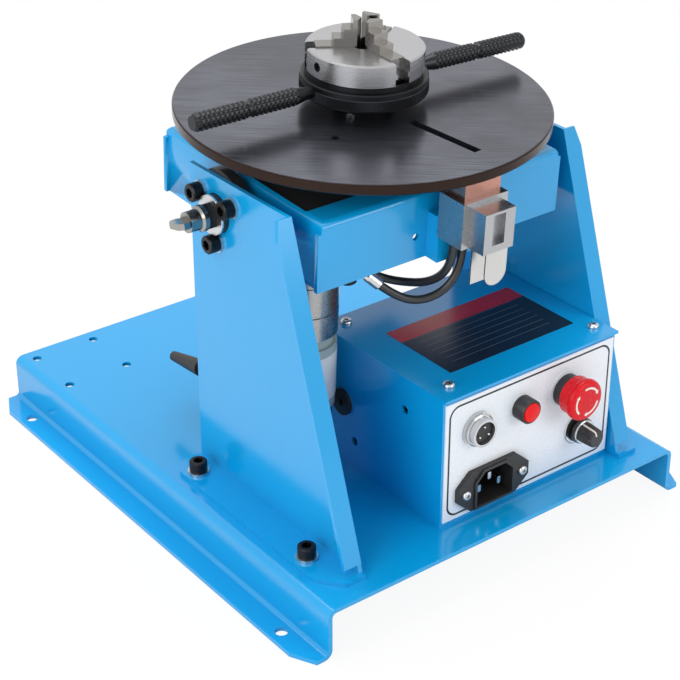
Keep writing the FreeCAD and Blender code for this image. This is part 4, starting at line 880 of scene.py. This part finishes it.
make_piece("dial_plate", turned(plate_rows, 72, None, True), on_panel("speed_knob"), "stand", chrome)
pin_rows = [(0.0, 0.02), (1.7, 0.02), (1.7, 0.9), (1.2, 1.5), (0.0, 1.7)]
make_piece("stop_pin", moved(turned(pin_rows, 32), Matrix.Translation((8.1, 6.6, 0))), on_panel("speed_knob"),
           "stand", black_plastic)

# %% [markdown]
# ## Pedal connector and mains inlet
# The round connector holds a black insert with three plated pins. The mains inlet has a raised
# frame round its recess and three flat metal blades inside it.

# %% Connector insert and pins
insert_rows = [(0.0, 0.55), (6.5, 0.55), (6.5, 4.3), (6.1, 4.6), (0.0, 4.6)]
make_piece("connector_insert", turned(insert_rows, 64), on_panel("pedal_connector"), "stand", black_plastic)
pin_rows = [(0.0, 4.5), (0.75, 4.5), (0.75, 6.2), (0.4, 6.7), (0.0, 6.8)]
pins = []
for angle in (90, 210, 330):
    a = math.radians(angle)
    pins.append(moved(turned(pin_rows, 20), Matrix.Translation((3.5 * math.cos(a), 3.5 * math.sin(a), 0))))
make_piece("connector_pins", joined(pins), on_panel("pedal_connector"), "stand", chrome)
lip_rows = [(8.02, 2.0), (9.3, 2.0), (9.3, 3.0), (8.6, 3.4), (8.02, 3.4)]


def knurled_nut(k, number, radius):
    return radius - (0.25 if k % 2 and radius > 9 else 0.0)


make_piece("connector_nut", turned(lip_rows, 96, knurled_nut, True), on_panel("pedal_connector"), "stand",
           chrome, (), 20)


# %% Inlet frame and blades
def hexagonal(grow):
    """Outline of the inlet's recess, two upper corners cut off, grown outwards."""
    w, t, c = 12.5 + grow, 10.0 + grow, 5.2 + grow * 0.6
    return [(-w, -t), (w, -t), (w, t - c), (w - c, t), (-w + c, t), (-w, t - c)]


frame_place = on_panel("power_inlet")
make_piece("inlet_frame", slab(hexagonal(1.6), 2.98, 4.0, hexagonal(0.05)), frame_place, "stand",
           black_plastic)
blades = [slab(rounded(x - 1.1, x + 1.1, y - 2.1, y + 2.1, 0.4), -16.8, -0.8)
          for x, y in ((0.0, 2.5), (-7.0, -3.0), (7.0, -3.0))]
make_piece("inlet_blades", joined(blades), frame_place, "stand", chrome)

# %% [markdown]
# ## Blank labels
# The lid wears a black film with a red band along its rear edge, and the motor a white wrap. Both
# are left without words. A few hairlines in the shader keep the lid's film from looking unfinished.

# %% Lid label
label_left, label_right, label_front, label_rear = -12.0, 77.0, -120.3, -66.5
lid_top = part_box("box_lid")[1][2] / MM
label_film = Finish("label_film")
fx, fy, _ = label_film.axes()
red_zone = label_film.remap(fy, (label_rear - 13.4) * MM, (label_rear - 13.2) * MM, 0.0, 1.0)
rule_step = 0.0052
rule_place = (fy * (1 / rule_step)) % 1.0
inside = (fx > (label_left + 8) * MM) * (fx < (label_right - 10) * MM) * (fy > (label_front + 7) * MM)
rules = band(label_film, rule_place, 0.5, 0.05) * inside * (1 - red_zone)
dust = label_film.noise(500.0, 2.0)
ink = label_film.mix(dust, (0.006, 0.008, 0.016), (0.010, 0.013, 0.024))
ink = label_film.mix(rules * 0.6, ink, (0.20, 0.24, 0.32))
label_film.set(Base_Color=label_film.mix(red_zone, ink, (0.42, 0.010, 0.018)))
label_film.set(Roughness=label_film.remap(dust, 0.3, 0.7, 0.20, 0.27)).bump(dust, 0.00001, 0.08)
make_piece("lid_label", slab(rounded(label_left, label_right, label_front, label_rear, 0.8), lid_top + 0.01,
                             lid_top + 0.2), Matrix(), "stand", label_film)

# %% Motor wrap
WRAP_INNER, WRAP_OUTER = 17.6 - 0.08, 17.6 + 0.12
WRAP_LOW, WRAP_HIGH = -108.0, -80.0
wrap_rows = [(WRAP_INNER, WRAP_LOW), (WRAP_OUTER, WRAP_LOW), (WRAP_OUTER, WRAP_HIGH), (WRAP_INNER, WRAP_HIGH)]
gearbox_low, gearbox_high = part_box("gearbox")
gearbox_middle = LEAN.inverted() @ ((Vector(gearbox_low) + Vector(gearbox_high)) / 2)
wrap_place = LEAN @ Matrix.Translation((gearbox_middle.x, gearbox_middle.y, 0))
paper = moulded("white_wrap", (0.72, 0.76, 0.78), 0.40, 900.0, 0.00001)
make_piece("motor_wrap", turned(wrap_rows, 96, None, True), wrap_place, "tilt_frame", paper)

# %% [markdown]
# ## Floor
# The floor is a pale sheet. To the camera it is mostly its own white, with a little of the lit
# surface mixed in, so that the soft shadow stays.

# %% Floor
floor_mesh = bpy.data.meshes.new("floor")
span = 3.0
floor_corners = [(-span, -span, 0), (span, -span, 0), (span, span, 0), (-span, span, 0)]
floor_mesh.from_pydata(floor_corners, [], [(0, 1, 2, 3)])
floor = bpy.data.objects.new("floor", floor_mesh)
floor.location.z = -0.0002
bpy.context.collection.objects.link(floor)
pale = Finish("pale_floor")
cloud = pale.noise(3.0, 2.0)
pale.set(Base_Color=pale.mix(cloud, (0.86, 0.86, 0.865), (0.88, 0.88, 0.885)), Roughness=0.6)
glow = pale.node("ShaderNodeEmission", {}, {"Color": (1, 1, 1), "Strength": 1.0})
camera_sees = pale.node("ShaderNodeLightPath", {}, {}, "Is Camera Ray")
FLOOR_WHITE = 0.92
output = pale.tree.nodes["Material Output"]
blend = pale.tree.nodes.new("ShaderNodeMixShader")
pale.feed(blend.inputs[0], camera_sees * FLOOR_WHITE)
pale.tree.links.new(pale.shader.outputs[0], blend.inputs[1])
pale.tree.links.new(glow.socket, blend.inputs[2])
pale.tree.links.new(blend.outputs[0], output.inputs["Surface"])
floor_mesh.materials.append(pale.material)
print("floor", 2 * span, "m wide")
